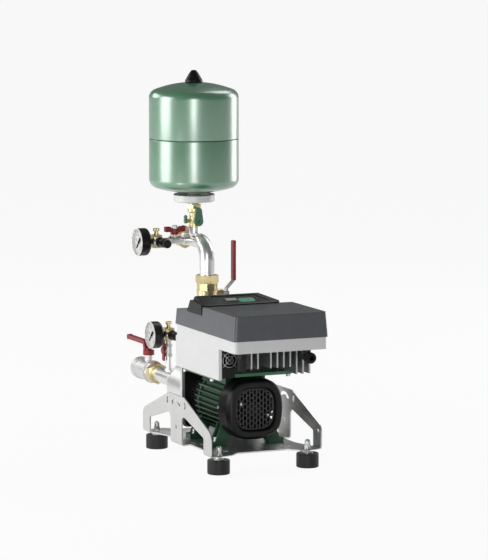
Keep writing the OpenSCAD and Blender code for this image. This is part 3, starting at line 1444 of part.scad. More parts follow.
// Shut-off valve of the vessel with its drain cock, cast in one
module flow_valve_body() {
  top = neck_z + 6;
  color("goldenrod") at_vessel() difference() {
    union() {
      translate([0, 0, socket_z]) cylinder(r = 12.6, h = 5);
      translate([0, 0, socket_z + 4]) cylinder(r = 10.6, h = 30);
      translate([0, 0, 532]) rotate_extrude() polygon([[0, 0], [10.6, 0], [14.5, 4], [14.5, 12], [0, 12]]);
      translate([0, 0, 543]) hex_nut(30, neck_z - 543);
      translate([0, 0, flow_lever_z]) rotate([90, 0, 0]) cylinder(r = 6.5, h = flow_boss);
      along_minus_x(0, 0, flow_lever_z) cylinder(r = 5, h = drain_l);
    }
    translate([0, 0, socket_z - cut]) cylinder(r = 5.5, h = top - socket_z);
    translate([0, 0, flow_lever_z]) sphere(r = flow_ball_r + gap);
    translate([0, 0, flow_lever_z]) rotate([90, 0, 0]) cylinder(r = 3 + run_fit, h = flow_boss + cut);
    along_minus_x(-12, 0, flow_lever_z) cylinder(r = 2.5 + run_fit, h = drain_l);
  }
}
module flow_lever() {
  y0 = flow_boss + gap;
  color("seagreen") at_vessel(flow_lever_z) rotate([90, 0, 0]) {
    difference() {
      union() {
        sphere(r = flow_ball_r);
        cylinder(r = 3, h = y0 + 2);
      }
      rotate([90, 0, 0]) translate([0, 0, -10]) cylinder(r = 5.5, h = 20);
    }
    translate([0, 0, y0]) difference() {
      hull() {
        cylinder(r = 10.4, h = 8, $fn = 32);
        translate([0, 25, 0]) cylinder(r = 7, h = 8, $fn = 32);
      }
      translate([0, 0, 5]) cylinder(r = 3.6, h = 4);
    }
  }
}
module drain_handle() {
  color("seagreen") at_vessel(flow_lever_z) along_minus_x(-12.5, 0, 0) {
    cylinder(r = 2.5, h = drain_l - 12.5 + gap + 2);
    translate([0, 0, drain_l - 12.5 + gap]) {
      cylinder(r = 6, h = 4.5);
      translate([0, -2.4, 0]) cube([9, 4.8, 4.5]);
      translate([9, 0, 2.2]) sphere(r = 4.4);
    }
  }
}
module air_valve() {
  color("goldenrod") at_vessel(vessel_z1 - 8) {
    cylinder(r = valve_seat_r - run_fit, h = 24);
    translate([0, 0, 8 + run_fit]) cylinder(r = 6, h = 2);
  }
}
module vessel_cap() {
  cap_z0 = vessel_z1 - 0.3;
  cap_z1 = 858.9;
  color([0.08, 0.08, 0.08]) at_vessel() rotate_extrude() polygon([
    [7, cap_z0 + 2], [18, cap_z0], [20.5, cap_z0 + 1], [19.6, cap_z0 + 5], [10, cap_z1 - 6],
    [6, cap_z1 - 1], [5, cap_z1], [0, cap_z1], [0, cap_z1 - 8], [7, cap_z1 - 8]]);
}

base_frame();
rubber_feet();
foot_fixings();
motor_housing();
stator();
bearings();
pump_shaft();
rotor_core();
motor_fan();
fan_cowl();
fixing_screws();
motor_bolts();
lantern();
coupling_guard();
pump_casing();
stage_chambers();
impellers();
shaft_seal();
brass_plugs();
adapter_plate();
heat_sink();
converter_housing();
converter_lid();
power_board();
control_panel();
display_window();
axial_fan_frame();
axial_fan_rotor();
axial_fan_guard();
cable_glands();
check_valve_body();
discharge_valve_body();
discharge_valve_ball();
discharge_lever();
discharge_grip();
union_nuts();
discharge_pipe();
outlet_union();
cock_bodies();
upper_cock_handle();
lower_cock_handle();
sensor_blocks();
pressure_sensors();
gauge_cases();
gauge_dials();
gauge_glasses();
upper_pointer();
lower_pointer();
suction_pipe();
suction_valve_body();
suction_valve_ball();
suction_lever();
vessel_shells();
vessel_diaphragm();
vessel_ring();
flow_valve_body();
flow_lever();
drain_handle();
air_valve();
vessel_cap();
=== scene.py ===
# Pressure booster unit: finishes, dial prints, small trim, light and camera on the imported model.
import json
import math

import bpy
from mathutils import Matrix, Vector


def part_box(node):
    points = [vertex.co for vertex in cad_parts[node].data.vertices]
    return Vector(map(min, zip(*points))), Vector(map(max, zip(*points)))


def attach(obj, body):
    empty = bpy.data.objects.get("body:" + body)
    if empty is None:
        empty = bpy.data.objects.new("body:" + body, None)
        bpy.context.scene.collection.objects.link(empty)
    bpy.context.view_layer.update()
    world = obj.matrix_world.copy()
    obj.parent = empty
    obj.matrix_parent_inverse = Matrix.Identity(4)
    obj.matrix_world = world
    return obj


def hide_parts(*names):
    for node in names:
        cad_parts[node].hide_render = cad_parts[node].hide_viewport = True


bl_info = {
    "name": "Pressure booster unit",
    "version": (1, 0, 0),
    "blender": (4, 5, 0),
    "location": "3D View > Sidebar > Booster",
    "description": "Finishes, trim and studio for the packed pressure booster unit",
    "category": "Object",
}

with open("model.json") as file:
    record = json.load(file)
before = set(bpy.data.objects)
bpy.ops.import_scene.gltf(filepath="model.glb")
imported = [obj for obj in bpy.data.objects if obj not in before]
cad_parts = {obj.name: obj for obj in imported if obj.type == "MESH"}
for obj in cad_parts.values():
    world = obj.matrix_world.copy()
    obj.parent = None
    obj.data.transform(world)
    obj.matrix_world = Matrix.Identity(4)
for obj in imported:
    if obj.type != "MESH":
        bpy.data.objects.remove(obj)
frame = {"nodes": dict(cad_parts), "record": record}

MM = 0.001


def linear(code):
    """Linear colour of an sRGB hex code, as the shader sockets take it."""
    channels = [int(code[i:i + 2], 16) / 255 for i in (0, 2, 4)]
    return tuple(c / 12.92 if c <= 0.04045 else ((c + 0.055) / 1.055) ** 2.4 for c in channels)


def colour(name, code, description):
    """A colour property with its default as an sRGB hex code."""
    return bpy.props.FloatVectorProperty(
        name=name, description=description, subtype="COLOR", size=3, min=0, max=1,
        default=linear(code))


def length(name, millimetres, description):
    """A length property with its default in millimetres."""
    return bpy.props.FloatProperty(
        name=name, description=description, default=millimetres * MM, min=0,
        subtype="DISTANCE", unit="LENGTH")


class BoosterColours(bpy.types.PropertyGroup):
    """Colours of the unit's finishes."""
    sheet: colour("Sheet", "e8e8e7", "Bent stainless sheet of the base")
    bright_steel: colour("Bright steel", "f4f4f3", "Polished stainless pipes and casing")
    zinc: colour("Zinc", "dcdddd", "Zinc plated screws and strips")
    aluminium: colour("Aluminium", "d2d3d4", "Die-cast heat sink")
    brass: colour("Brass", "e9d8a6", "Bare brass fittings")
    motor: colour("Motor", "164329", "Enamel of the motor")
    plate: colour("Adapter plate", "3b7a55", "Enamel of the adapter plate")
    vessel: colour("Vessel", "4d9067", "Metallic paint of the vessel")
    housing: colour("Housing", "e0e0e0", "Powder coat of the converter housing")
    lid: colour("Lid", "595c60", "Moulded lid of the converter")
    black: colour("Black plastic", "111111", "Display, glands and small mouldings")
    cowl: colour("Cowl", "080808", "Moulded fan cowl")
    rubber: colour("Rubber", "101010", "Buffers")
    red: colour("Red", "8f1a1c", "Levers and handles")
    green: colour("Green plastic", "56806b", "Flow valve lever and drain handle")
    white: colour("White plastic", "ececea", "Ring under the vessel and dials")
    badge: colour("Badge", "4fae85", "Bare plate on the display")
    print_black: colour("Print", "0b0b0b", "Ticks and numerals of the dials")


class BoosterSizes(bpy.types.PropertyGroup):
    """Sizes of the pieces made here."""
    tick_radius: length("Tick radius", 25.5, "Outer radius of the dial's ticks")
    tick_long: length("Long tick", 4.2, "Length of a numbered tick")
    tick_short: length("Short tick", 2, "Length of a plain tick")
    numeral: length("Numeral", 7, "Height of a dial numeral")
    badge_l: length("Badge length", 39, "Length of the badge")
    badge_w: length("Badge width", 22, "Width of the badge")
    strip_l: length("Display strip length", 26, "Length of the grey display strip")
    strip_w: length("Display strip width", 12.5, "Width of the grey display strip")
    needle_l: length("Needle length", 20, "From the arbor to the tip of a gauge needle")
    needle_tail: length("Needle tail", 13, "From the arbor to the end of a needle's broad tail")
    thread_pitch: length("Thread pitch", 2.3, "Pitch of the pipe thread")
    vessel_r: length("Vessel radius", 102.5, "Outer radius of the vessel")
    knuckle_r: length("Knuckle radius", 21, "Radius between the vessel's wall and its ends")
    seam_lip: length("Seam lip", 0.9, "Round of the shells' edges at the seam")


# Shader helpers

def add_node(tree, kind, settings=None, inputs=None):
    """Adds a shader node, sets its options and fills its inputs with values or links."""
    node = tree.nodes.new("ShaderNode" + kind)
    for option, value in (settings or {}).items():
        setattr(node, option, value)
    for socket, value in (inputs or {}).items():
        if isinstance(value, bpy.types.NodeSocket):
            tree.links.new(value, node.inputs[socket])
        else:
            node.inputs[socket].default_value = value
    return node


class Finish:
    """A material with its shader, to which grain, wear and relief are added in turn."""

    def __init__(self, name, base, roughness, metallic=0.0, coat=0.0):
        self.material = bpy.data.materials.new(name)
        self.material.use_nodes = True
        self.tree = self.material.node_tree
        self.shader = self.tree.nodes["Principled BSDF"]
        self.base = tuple(base)
        self.roughness = roughness
        self.set("Base Color", (*self.base, 1))
        self.set("Roughness", roughness)
        self.set("Metallic", metallic)
        self.set("Coat Weight", coat)
        self.set("Coat Roughness", 0.2)
        self.place = add_node(self.tree, "TexCoord").outputs["Object"]
        self.normal = None

    def set(self, socket, value):
        """Sets one of the shader's own inputs."""
        self.shader.inputs[socket].default_value = value

    def noise(self, size_mm, stretch=(1, 1, 1), detail=3.0):
        """Noise whose features are about size_mm wide, drawn out along an axis by stretch."""
        mapping = add_node(self.tree, "Mapping", inputs={
            "Vector": self.place, "Scale": tuple(1 / s for s in stretch)})
        return add_node(self.tree, "TexNoise", inputs={
            "Vector": mapping.outputs["Vector"], "Scale": 1 / (size_mm * MM),
            "Detail": detail}).outputs["Fac"]

    def vary_colour(self, factor, darker, lighter):
        """Shifts the base colour between two brightness factors."""
        ramp = add_node(self.tree, "ValToRGB", inputs={"Fac": factor})
        low, high = ramp.color_ramp.elements
        for element, position, gain in ((low, 0.3, darker), (high, 0.7, lighter)):
            element.position = position
            element.color = (*(min(1, c * gain) for c in self.base), 1)
        self.tree.links.new(ramp.outputs["Color"], self.shader.inputs["Base Color"])

    def vary_roughness(self, factor, amount):
        """Spreads the roughness by an amount either way."""
        spread = add_node(self.tree, "MapRange", inputs={
            "Value": factor, "From Min": 0.3, "From Max": 0.7,
            "To Min": self.roughness - amount, "To Max": self.roughness + amount})
        self.tree.links.new(spread.outputs["Result"], self.shader.inputs["Roughness"])

    def inside(self, limits):
        """Mask of the zone between pairs of planes, in mm, given by axis."""
        axes = add_node(self.tree, "SeparateXYZ", inputs={0: self.place})
        total = None
        for axis, (low, high) in limits.items():
            mask = add_node(self.tree, "Math", {"operation": "COMPARE"}, {
                0: axes.outputs[axis], 1: (low + high) / 2 * MM,
                2: (high - low) / 2 * MM}).outputs[0]
            total = mask if total is None else add_node(
                self.tree, "Math", {"operation": "MULTIPLY"}, {0: total, 1: mask}).outputs[0]
        return total

    def within(self, centre, radius_mm, limits):
        """Mask of a round bar along X about a centre, between two planes in mm."""
        flat = add_node(self.tree, "VectorMath", {"operation": "MULTIPLY"}, {
            0: self.place, 1: (0, 1, 1)})
        gap = add_node(self.tree, "VectorMath", {"operation": "DISTANCE"}, {
            0: flat.outputs[0], 1: (0, centre.y, centre.z)})
        near = add_node(self.tree, "Math", {"operation": "LESS_THAN"}, {
            0: gap.outputs["Value"], 1: radius_mm * MM})
        return add_node(self.tree, "Math", {"operation": "MULTIPLY"}, {
            0: near.outputs[0], 1: self.inside({"X": limits})}).outputs[0]

    def zone(self, limits, code):
        """Gives the zone between pairs of planes another colour and returns its mask."""
        return self.tint(self.inside(limits), code)

    def tint(self, mask, code):
        """Gives what a mask covers another colour and returns the mask."""
        target = self.shader.inputs["Base Color"]
        below = target.links[0].from_socket if target.links else (*self.base, 1)
        mix = add_node(self.tree, "MixRGB", inputs={
            "Fac": mask, "Color1": below, "Color2": (*linear(code), 1)})
        self.tree.links.new(mix.outputs[0], target)
        return mask

    def metal_where(self, *masks):
        """Makes the masked zones bare metal."""
        total = masks[0]
        for mask in masks[1:]:
            total = add_node(self.tree, "Math", {"operation": "ADD"}, {
                0: total, 1: mask}).outputs[0]
        self.tree.links.new(total, self.shader.inputs["Metallic"])

    def thread(self, axis, low, high, pitch, depth_mm):
        """Cuts a pipe thread into the zone between two planes across an axis."""
        axes = add_node(self.tree, "SeparateXYZ", inputs={0: self.place})
        turns = add_node(self.tree, "Math", {"operation": "MULTIPLY"}, {
            0: axes.outputs[axis], 1: 2 * math.pi / pitch})
        wave = add_node(self.tree, "Math", {"operation": "SINE"}, {0: turns.outputs[0]})
        cut = add_node(self.tree, "Math", {"operation": "MULTIPLY"}, {
            0: wave.outputs[0], 1: self.inside({axis: (low, high)})})
        self.relief(cut.outputs[0], depth_mm)

    def soften_edges(self, radius_mm):
        """Rounds the shading of sharp edges, as on a casting or a moulding."""
        self.normal = add_node(self.tree, "Bevel", {"samples": 6}, {
            "Radius": radius_mm * MM}).outputs["Normal"]
        self.use_normal()

    def relief(self, height, depth_mm, strength=1.0):
        """Raises the surface by a pattern of the given depth."""
        inputs = {"Height": height, "Distance": depth_mm * MM, "Strength": strength}
        if self.normal is not None:
            inputs["Normal"] = self.normal
        self.normal = add_node(self.tree, "Bump", inputs=inputs).outputs["Normal"]
        self.use_normal()

    def use_normal(self):
        """Lets both the surface and its clear coat follow the relief."""
        for socket in ("Normal", "Coat Normal"):
            self.tree.links.new(self.normal, self.shader.inputs[socket])


# Finishes, each named for the real material

def brushed_stainless(colours):
    """Bent sheet: fine brushing along Y that breaks up the reflections."""
    f = Finish("brushed_stainless_sheet", colours.sheet, 0.36, 1.0)
    brushing = f.noise(0.35, (1, 60, 1), 2)
    f.vary_colour(f.noise(60), 0.96, 1.03)
    f.vary_roughness(brushing, 0.09)
    f.soften_edges(0.6)
    f.relief(brushing, 0.006)
    return f.material


def polished_stainless(colours):
    """Bent pipes: evenly polished, with faint handling marks."""
    f = Finish("polished_stainless_steel", colours.bright_steel, 0.33, 1.0)
    f.vary_roughness(f.noise(12), 0.02)
    f.soften_edges(0.15)
    return f.material


def satin_stainless(colours):
    """Pump casing: drawn sheet with a satin finish turned round its axis."""
    f = Finish("satin_stainless_steel", colours.bright_steel, 0.36, 1.0)
    grain = f.noise(0.5, (40, 1, 40), 2)
    f.vary_roughness(grain, 0.04)
    f.soften_edges(0.4)
    f.relief(grain, 0.002)
    return f.material


def cast_stainless(colours):
    """Valve body and small cocks: satin nickel over a fine casting skin."""
    f = Finish("nickel_plated_castings", colours.sheet, 0.5, 1.0)
    f.vary_roughness(f.noise(9), 0.04)
    f.soften_edges(0.2)
    f.relief(f.noise(1.4), 0.004)
    return f.material


def zinc_plated(colours):
    """Screws, nuts and strips: bluish grey with cloudy plating."""
    f = Finish("zinc_plated_steel", colours.zinc, 0.32, 1.0)
    f.vary_colour(f.noise(4), 0.92, 1.04)
    f.vary_roughness(f.noise(2), 0.08)
    f.soften_edges(0.3)
    return f.material


def die_cast_aluminium(colours):
    """Heat sink: matt silvery skin with flow marks."""
    f = Finish("die_cast_aluminium", colours.aluminium, 0.42, 1.0)
    f.vary_colour(f.noise(18, (1, 3, 1)), 0.95, 1.03)
    f.vary_roughness(f.noise(1.2), 0.08)
    f.soften_edges(0.8)
    f.relief(f.noise(0.7), 0.02)
    return f.material


def machined_brass(name, colours):
    """Warm machined metal, bright with slightly duller patches."""
    f = Finish(name, colours.brass, 0.32, 1.0)
    f.vary_colour(f.noise(30), 0.97, 1.02)
    f.vary_roughness(f.noise(10), 0.03)
    f.soften_edges(0.25)
    return f


def bare_brass(colours):
    """Fittings: machined brass, left bare."""
    return machined_brass("bare_brass", colours).material


def threaded_brass(colours, sizes):
    """Outlet: bare brass whose end carries a pipe thread."""
    f = machined_brass("threaded_brass", colours)
    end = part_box("outlet_union")[1][1] / MM
    f.thread("Y", end - THREAD_L, end - 1.5, sizes.thread_pitch, 0.9)
    return f.material


def motor_enamel(colours):
    """Motor: dark green enamel over cast aluminium, with a soft orange peel."""
    f = Finish("motor_enamel", colours.motor, 0.4, 0.0, 0.15)
    f.vary_colour(f.noise(15), 0.88, 1.1)
    f.soften_edges(0.9)
    f.relief(f.noise(1.6), 0.05, 0.7)
    return f.material


def plate_enamel(colours):
    """Adapter plate: the same enamel, smoother and lighter on machined metal."""
    f = Finish("plate_enamel", colours.plate, 0.3, 0.0, 0.4)
    f.vary_colour(f.noise(20), 0.92, 1.06)
    f.soften_edges(0.7)
    f.relief(f.noise(2.5), 0.02, 0.6)
    return f.material


def metallic_paint(colours):
    """Vessel: metallic green with a silky sheen that draws out the light along the shell."""
    f = Finish("metallic_vessel_paint", colours.vessel, 0.3, 0.1, 1.0)
    f.set("IOR", 2.8)
    f.vary_colour(f.noise(0.35, detail=1), 0.93, 1.07)
    f.vary_roughness(f.noise(40), 0.02)
    return f.material


def powder_coat(colours):
    """Converter housing: pale grey powder coat with a fine even texture."""
    f = Finish("powder_coat", colours.housing, 0.5, 0.0, 0.4)
    f.set("Coat Roughness", 0.12)
    f.vary_colour(f.noise(30), 0.985, 1.015)
    f.soften_edges(2.0)
    f.relief(f.noise(0.6), 0.03, 0.8)
    return f.material


def textured_plastic(name, base, roughness, grain_mm=0.5, edge_mm=0.8, coat=0.0):
    """Moulded polyamide or ABS: spark-eroded grain, slightly uneven sheen."""
    f = Finish(name, base, roughness, 0.0, coat)
    f.set("Specular IOR Level", 0.3)
    f.set("Coat Roughness", 0.12)
    f.vary_colour(f.noise(25), 0.95, 1.05)
    f.vary_roughness(f.noise(6), 0.05)
    f.soften_edges(edge_mm)
    f.relief(f.noise(grain_mm), 0.025, 0.8)
    return f.material


def moulded_rubber(colours):
    """Buffers: dull black with a dusty bloom."""
    f = Finish("moulded_rubber", colours.rubber, 0.42)
    f.vary_colour(f.noise(7), 0.85, 1.25)
    f.soften_edges(0.8)
    f.relief(f.noise(0.9), 0.04, 0.7)
    return f.material


def dipped_vinyl(name, base):
    """Lever sleeves and handles: thick soft coating with a mild gloss."""
    f = Finish(name, base, 0.36, 0.0, 0.15)
    f.vary_colour(f.noise(10), 0.92, 1.08)
    f.soften_edges(1.2)
    f.relief(f.noise(4, detail=1), 0.08, 0.6)
    return f.material


def smooth_plastic(name, base, roughness=0.25):
    """Nylon ring, dials and badge: even colour, low relief, clean gloss."""
    f = Finish(name, base, roughness, 0.0, 0.2)
    f.vary_colour(f.noise(18), 0.98, 1.02)
    f.soften_edges(0.6)
    return f.material


def matt_ink(colours):
    """Dial print and needles: matt black that gives back almost no light."""
    f = Finish("matt_black_ink", colours.print_black, 0.8)
    f.set("Specular IOR Level", 0.05)
    f.vary_colour(f.noise(3), 0.9, 1.1)
    return f.material


def clear_pane():
    """Gauge pane: almost invisible, with a clean reflection."""
    f = Finish("clear_acrylic", (0.1, 0.1, 0.1), 0.04)
    f.set("Alpha", 0.05)
    f.relief(f.noise(20, detail=1), 0.05, 0.3)
    return f.material


def cowl_moulding(colours):
    """Fan cowl: black polyamide, with its front ring painted a lighter grey for the light falling
    on its face, and a painted highlight on the thin webs.
    """
    f = Finish("black_polyamide_cowl", colours.cowl, 0.36)
    f.set("Specular IOR Level", 0.2)
    f.vary_colour(f.noise(25), 0.95, 1.05)
    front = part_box("fan_cowl")[0][1] / MM
    middle = (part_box("fan_cowl")[0][2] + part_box("fan_cowl")[1][2]) / 2 / MM
    # Painted light: the front ring is given a lighter grey for the light falling on the cowl's
    # face.
    f.zone({"Y": (front - 0.1, front + 3)}, "242424")
    # Painted highlight: the grille's thin webs are given a pale grey, as if lit along their edges.
    f.zone({"X": (-GRILLE_HALF, GRILLE_HALF), "Y": (front + WEB_FROM, front + WEB_TO),
            "Z": (middle - GRILLE_HALF, middle + GRILLE_HALF)}, "4e4e4e")
    f.vary_roughness(f.noise(6), 0.05)
    f.soften_edges(0.7)
    return f.material


def gauge_case(colours):
    """Gauge case: black moulding, pale inside and on the snap-on rim round the pane."""
    f = Finish("black_gauge_case", colours.black, 0.3)
    f.vary_colour(f.noise(25), 0.95, 1.05)
    for pointer in POINTERS:
        centre = dial_place(pointer).translation
        front = centre.x / MM - CASE_RISE
        f.zone({"X": (front - 0.1, front + 1.7)}, "e9e9e7")
        f.tint(f.within(centre, CASE_BORE + 0.5, (front, front + CASE_RISE + 1)), "e9e9e7")
    f.soften_edges(0.5)
    return f.material


def sensor_body(colours):
    """Pressure sensor: black moulding screwed in by a bare stainless hexagon."""
    f = Finish("black_sensor_moulding", colours.black, 0.36)
    f.vary_colour(f.noise(25), 0.95, 1.05)
    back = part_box("pressure_sensors")[1][1] / MM
    step = (dial_place(POINTERS[1]).translation.y - dial_place(POINTERS[0]).translation.y) / MM
    f.metal_where(*(f.zone({"Y": (y - SENSOR_HEX, y)}, "dcdcdb") for y in (back, back - step)))
    f.soften_edges(0.5)
    return f.material


def ring_nylon(colours):
    """Ring under the vessel: white nylon, with painted shade in a dark band along its upper edge
    under the vessel's dome.
    """
    f = Finish("white_nylon", colours.white, 0.35, 0.0, 0.2)
    f.vary_colour(f.noise(18), 0.98, 1.02)
    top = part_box("vessel_shells")[0][2] / MM + RING_EDGE_RISE
    # Painted shade: a dark band where the vessel's lower dome overhangs the ring.
    f.zone({"Z": (top - 1.3, top + 0.2)}, "1c1c1c")
    f.soften_edges(0.6)
    return f.material


def copper_winding():
    """Windings and core: varnished copper brown."""
    f = Finish("varnished_copper", linear("7a4426"), 0.4, 0.7)
    strands = f.noise(0.9, (1, 12, 1))
    f.vary_colour(strands, 0.7, 1.15)
    f.relief(strands, 0.2)
    return f.material


def circuit_board():
    """Power board: green laminate with a fine weave."""
    f = Finish("circuit_laminate", linear("1d5a34"), 0.4)
    f.vary_colour(f.noise(1.2), 0.8, 1.2)
    f.relief(f.noise(0.4), 0.01)
    return f.material


def paint(material, *nodes):
    """Gives CAD nodes a finish."""
    for node in nodes:
        data = frame["nodes"][node].data
        data.materials.clear()
        data.materials.append(material)


# Modelling helpers

def deselect():
    """Leaves edit mode with nothing selected."""
    if bpy.context.object and bpy.context.object.mode != "OBJECT":
        bpy.ops.object.mode_set(mode="OBJECT")
    bpy.ops.object.select_all(action="DESELECT")


def keep_place(obj):
    """Moves an object's place into its mesh."""
    deselect()
    obj.select_set(True)
    bpy.context.view_layer.objects.active = obj
    bpy.ops.object.transform_apply(location=True, rotation=True, scale=True)


def apply_modifiers(obj):
    """Bakes an object's modifiers into its mesh."""
    deselect()
    obj.select_set(True)
    bpy.context.view_layer.objects.active = obj
    for modifier in list(obj.modifiers):
        bpy.ops.object.modifier_apply(modifier=modifier.name)


def block(name, size):
    """A block centred on the origin, the start of a flat piece."""
    deselect()
    bpy.ops.mesh.primitive_cube_add(size=1)
    obj = bpy.context.object
    obj.name = name
    obj.scale = size
    keep_place(obj)
    return obj


def select_faces(obj, axis):
    """Goes into edit mode with the faces that look up an axis selected."""
    bpy.ops.object.mode_set(mode="EDIT")
    bpy.ops.mesh.select_mode(type="FACE")
    bpy.ops.mesh.select_all(action="DESELECT")
    bpy.ops.object.mode_set(mode="OBJECT")
    for face in obj.data.polygons:
        face.select = face.normal["XYZ".index(axis)] > 0.9
    bpy.ops.object.mode_set(mode="EDIT")


def turned(name, outline, steps):
    """A piece of revolution: an outline of (radius, height) points spun about Z."""
    deselect()
    bpy.ops.mesh.primitive_plane_add(size=MM)
    obj = bpy.context.object
    obj.name = name
    bpy.ops.object.mode_set(mode="EDIT")
    bpy.ops.mesh.select_mode(type="VERT")
    bpy.ops.mesh.select_all(action="SELECT")
    bpy.ops.mesh.merge(type="CENTER")
    bpy.ops.transform.translate(value=(outline[0][0], 0, outline[0][1]))
    for (r0, z0), (r1, z1) in zip(outline, outline[1:]):
        bpy.ops.mesh.extrude_vertices_move(
            TRANSFORM_OT_translate={"value": (r1 - r0, 0, z1 - z0)})
    bpy.ops.mesh.select_all(action="SELECT")
    bpy.ops.mesh.spin(steps=steps, angle=2 * math.pi, center=(0, 0, 0), axis=(0, 0, 1))
    bpy.ops.mesh.select_all(action="SELECT")
    bpy.ops.mesh.remove_doubles(threshold=MM / 100)
    bpy.ops.mesh.normals_make_consistent(inside=False)
    bpy.ops.object.mode_set(mode="OBJECT")
    bpy.ops.object.shade_smooth_by_angle(angle=math.radians(35))
    return obj


def arc(centre, radius, start, end, count):
    """Points of an arc in the (radius, height) plane, angles in degrees."""
    turn = [math.radians(start + (end - start) * i / count) for i in range(count + 1)]
    return [(centre[0] + radius * math.cos(t), centre[1] + radius * math.sin(t)) for t in turn]


def plate(name, size, corner, rim):
    """A flat plate centred on the origin with round corners and softened rims."""
    obj = block(name, size)
    bpy.ops.object.mode_set(mode="EDIT")
    bpy.ops.mesh.select_mode(type="EDGE")
    bpy.ops.mesh.select_all(action="DESELECT")
    bpy.ops.object.mode_set(mode="OBJECT")
    for edge in obj.data.edges:
        low, high = (obj.data.vertices[i].co.z for i in edge.vertices)
        edge.select = abs(low - high) > size[2] / 2
    bpy.ops.object.mode_set(mode="EDIT")
    bpy.ops.mesh.bevel(offset=corner, segments=10)
    bpy.ops.object.mode_set(mode="OBJECT")
    modifier = obj.modifiers.new("rim", "BEVEL")
    modifier.width = rim
    modifier.segments = 2
    modifier.limit_method = "ANGLE"
    modifier.angle_limit = math.radians(60)
    apply_modifiers(obj)
    return obj


def join(name, objects):
    """Joins objects into one piece of the given name."""
    deselect()
    for obj in objects:
        obj.select_set(True)
    bpy.context.view_layer.objects.active = objects[0]
    bpy.ops.object.join()
    objects[0].name = name
    return objects[0]


def put(obj, matrix):
    """Places an object and moves that place into its mesh."""
    obj.matrix_world = matrix
    keep_place(obj)
    return obj


def frame_y(node):
    """Middle of a CAD node along Y."""
    low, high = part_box(node)
    return (low[1] + high[1]) / 2


def finish_piece(obj, material, body):
    """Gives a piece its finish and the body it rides."""
    obj.data.materials.clear()
    obj.data.materials.append(material)
    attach(obj, body)
    return obj


def dial_place(pointer):
    """Matrix of a dial's face: X to the right, Y up and Z out, as its reader sees it."""
    joint = next(j for j in frame["record"]["behaviour"]["joints"]
                 if j["child"] == pointer.replace("pointer", "needle"))
    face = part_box(pointer)[0][0] + 2.4 * MM
    turn = Matrix(((0, 0, -1), (-1, 0, 0), (0, 1, 0))).to_4x4()
    return Matrix.Translation((face, joint["pos_m"][1], joint["pos_m"][2])) @ turn


# In mm: half width of the cowl's grille, and its webs' depth behind the cowl's front, which bound
# the webs' painted highlight
GRILLE_HALF = 48
WEB_FROM = 8.8
WEB_TO = 11.6
# CAD nodes of the two gauges' pointers
POINTERS = ("upper_pointer", "lower_pointer")
# In mm: case front over the dial's face, radius of the case's bore, length of a sensor's hexagon,
# height of the ring's upper edge, where its painted shade lies, over the neck's end
CASE_RISE = 6.5
CASE_BORE = 29.3
SENSOR_HEX = 9
RING_EDGE_RISE = 22.9
# Dial's scale: its first mark and sweep in degrees, steps over all, and parts of a step
DIAL_START = 225
DIAL_SWEEP = 270
DIAL_STEPS = 10
DIAL_MINOR = 2


def tick(size, radius, angle, place):
    """One printed tick of a dial."""
    obj = block("tick", size)
    turn = Matrix.Rotation(math.radians(angle), 4, "Z")
    return put(obj, place @ turn @ Matrix.Translation((radius - size[0] / 2, 0, 0.05 * MM)))


def numeral(text, height, radius, angle, place):
    """One printed number of a dial, made a mesh."""
    deselect()
    bpy.ops.object.text_add()
    obj = bpy.context.object
    obj.data.body = text
    obj.data.size = height
    obj.data.align_x = "CENTER"
    obj.data.align_y = "CENTER"
    obj.data.extrude = 0.05 * MM
    obj.data.offset = 0.035 * height
    bpy.ops.object.convert(target="MESH")
    a = math.radians(angle)
    spot = Matrix.Translation((radius * math.cos(a), radius * math.sin(a), 0.05 * MM))
    return put(bpy.context.object, place @ spot)


def dial_print(name, pointer, sizes):
    """Ticks and numerals on one dial."""
    place = dial_place(pointer)
    parts = []
    count = DIAL_STEPS * DIAL_MINOR
    for i in range(count + 1):
        angle = DIAL_START - DIAL_SWEEP * i / count
        numbered = i % DIAL_MINOR == 0
        long = sizes.tick_long if numbered else sizes.tick_short
        wide = 0.8 * MM if numbered else 0.4 * MM
        parts.append(tick((long, wide, 0.1 * MM), sizes.tick_radius, angle, place))
    for step in range(0, DIAL_STEPS + 1, 2):
        angle = DIAL_START - DIAL_SWEEP * step / DIAL_STEPS
        parts.append(numeral(str(step), sizes.numeral, sizes.tick_radius - 8.5 * MM, angle, place))
    return join(name, parts)


# Direction of a resting needle's tip on the dial, and height of its blade over the face
NEEDLE_ANGLE = 225
BLADE_RISE = 2.1 * MM


def needle(name, pointer, sizes):
    """A flat needle, broad from its tail to past its hub and narrowed towards the tip."""
    broad = 3 * MM
    span = sizes.needle_tail + broad
    obj = block(name, (span, 6 * MM, 0.4 * MM))
    put(obj, Matrix.Translation((broad - span / 2, 0, 0)))
    select_faces(obj, "X")
    for step, narrower in ((3 * MM, 0.45), (sizes.needle_l - broad - 3 * MM, 0.4)):
        bpy.ops.mesh.extrude_region_move(TRANSFORM_OT_translate={"value": (step, 0, 0)})
        bpy.ops.transform.resize(value=(1, narrower, 1), center_override=(0, 0, 0))
    bpy.ops.object.mode_set(mode="OBJECT")
    modifier = obj.modifiers.new("rim", "BEVEL")
    modifier.width = 0.1 * MM
    apply_modifiers(obj)
    turn = Matrix.Rotation(math.radians(NEEDLE_ANGLE), 4, "Z")
    return put(obj, dial_place(pointer) @ Matrix.Translation((0, 0, BLADE_RISE)) @ turn)


def dial_mark(name, pointer):
    """A small coloured bar low on the dial, bare of any sign."""
    obj = plate(name, (5.2 * MM, 2 * MM, 0.12 * MM), 0.9 * MM, 0.03 * MM)
    return put(obj, dial_place(pointer) @ Matrix.Translation((5.5 * MM, -16 * MM, 0.06 * MM)))


# Display module: a point on its tilted face, and the tilt about X in degrees
PANEL_POINT = (0, -0.093, 0.361)
PANEL_TILT = 16.7


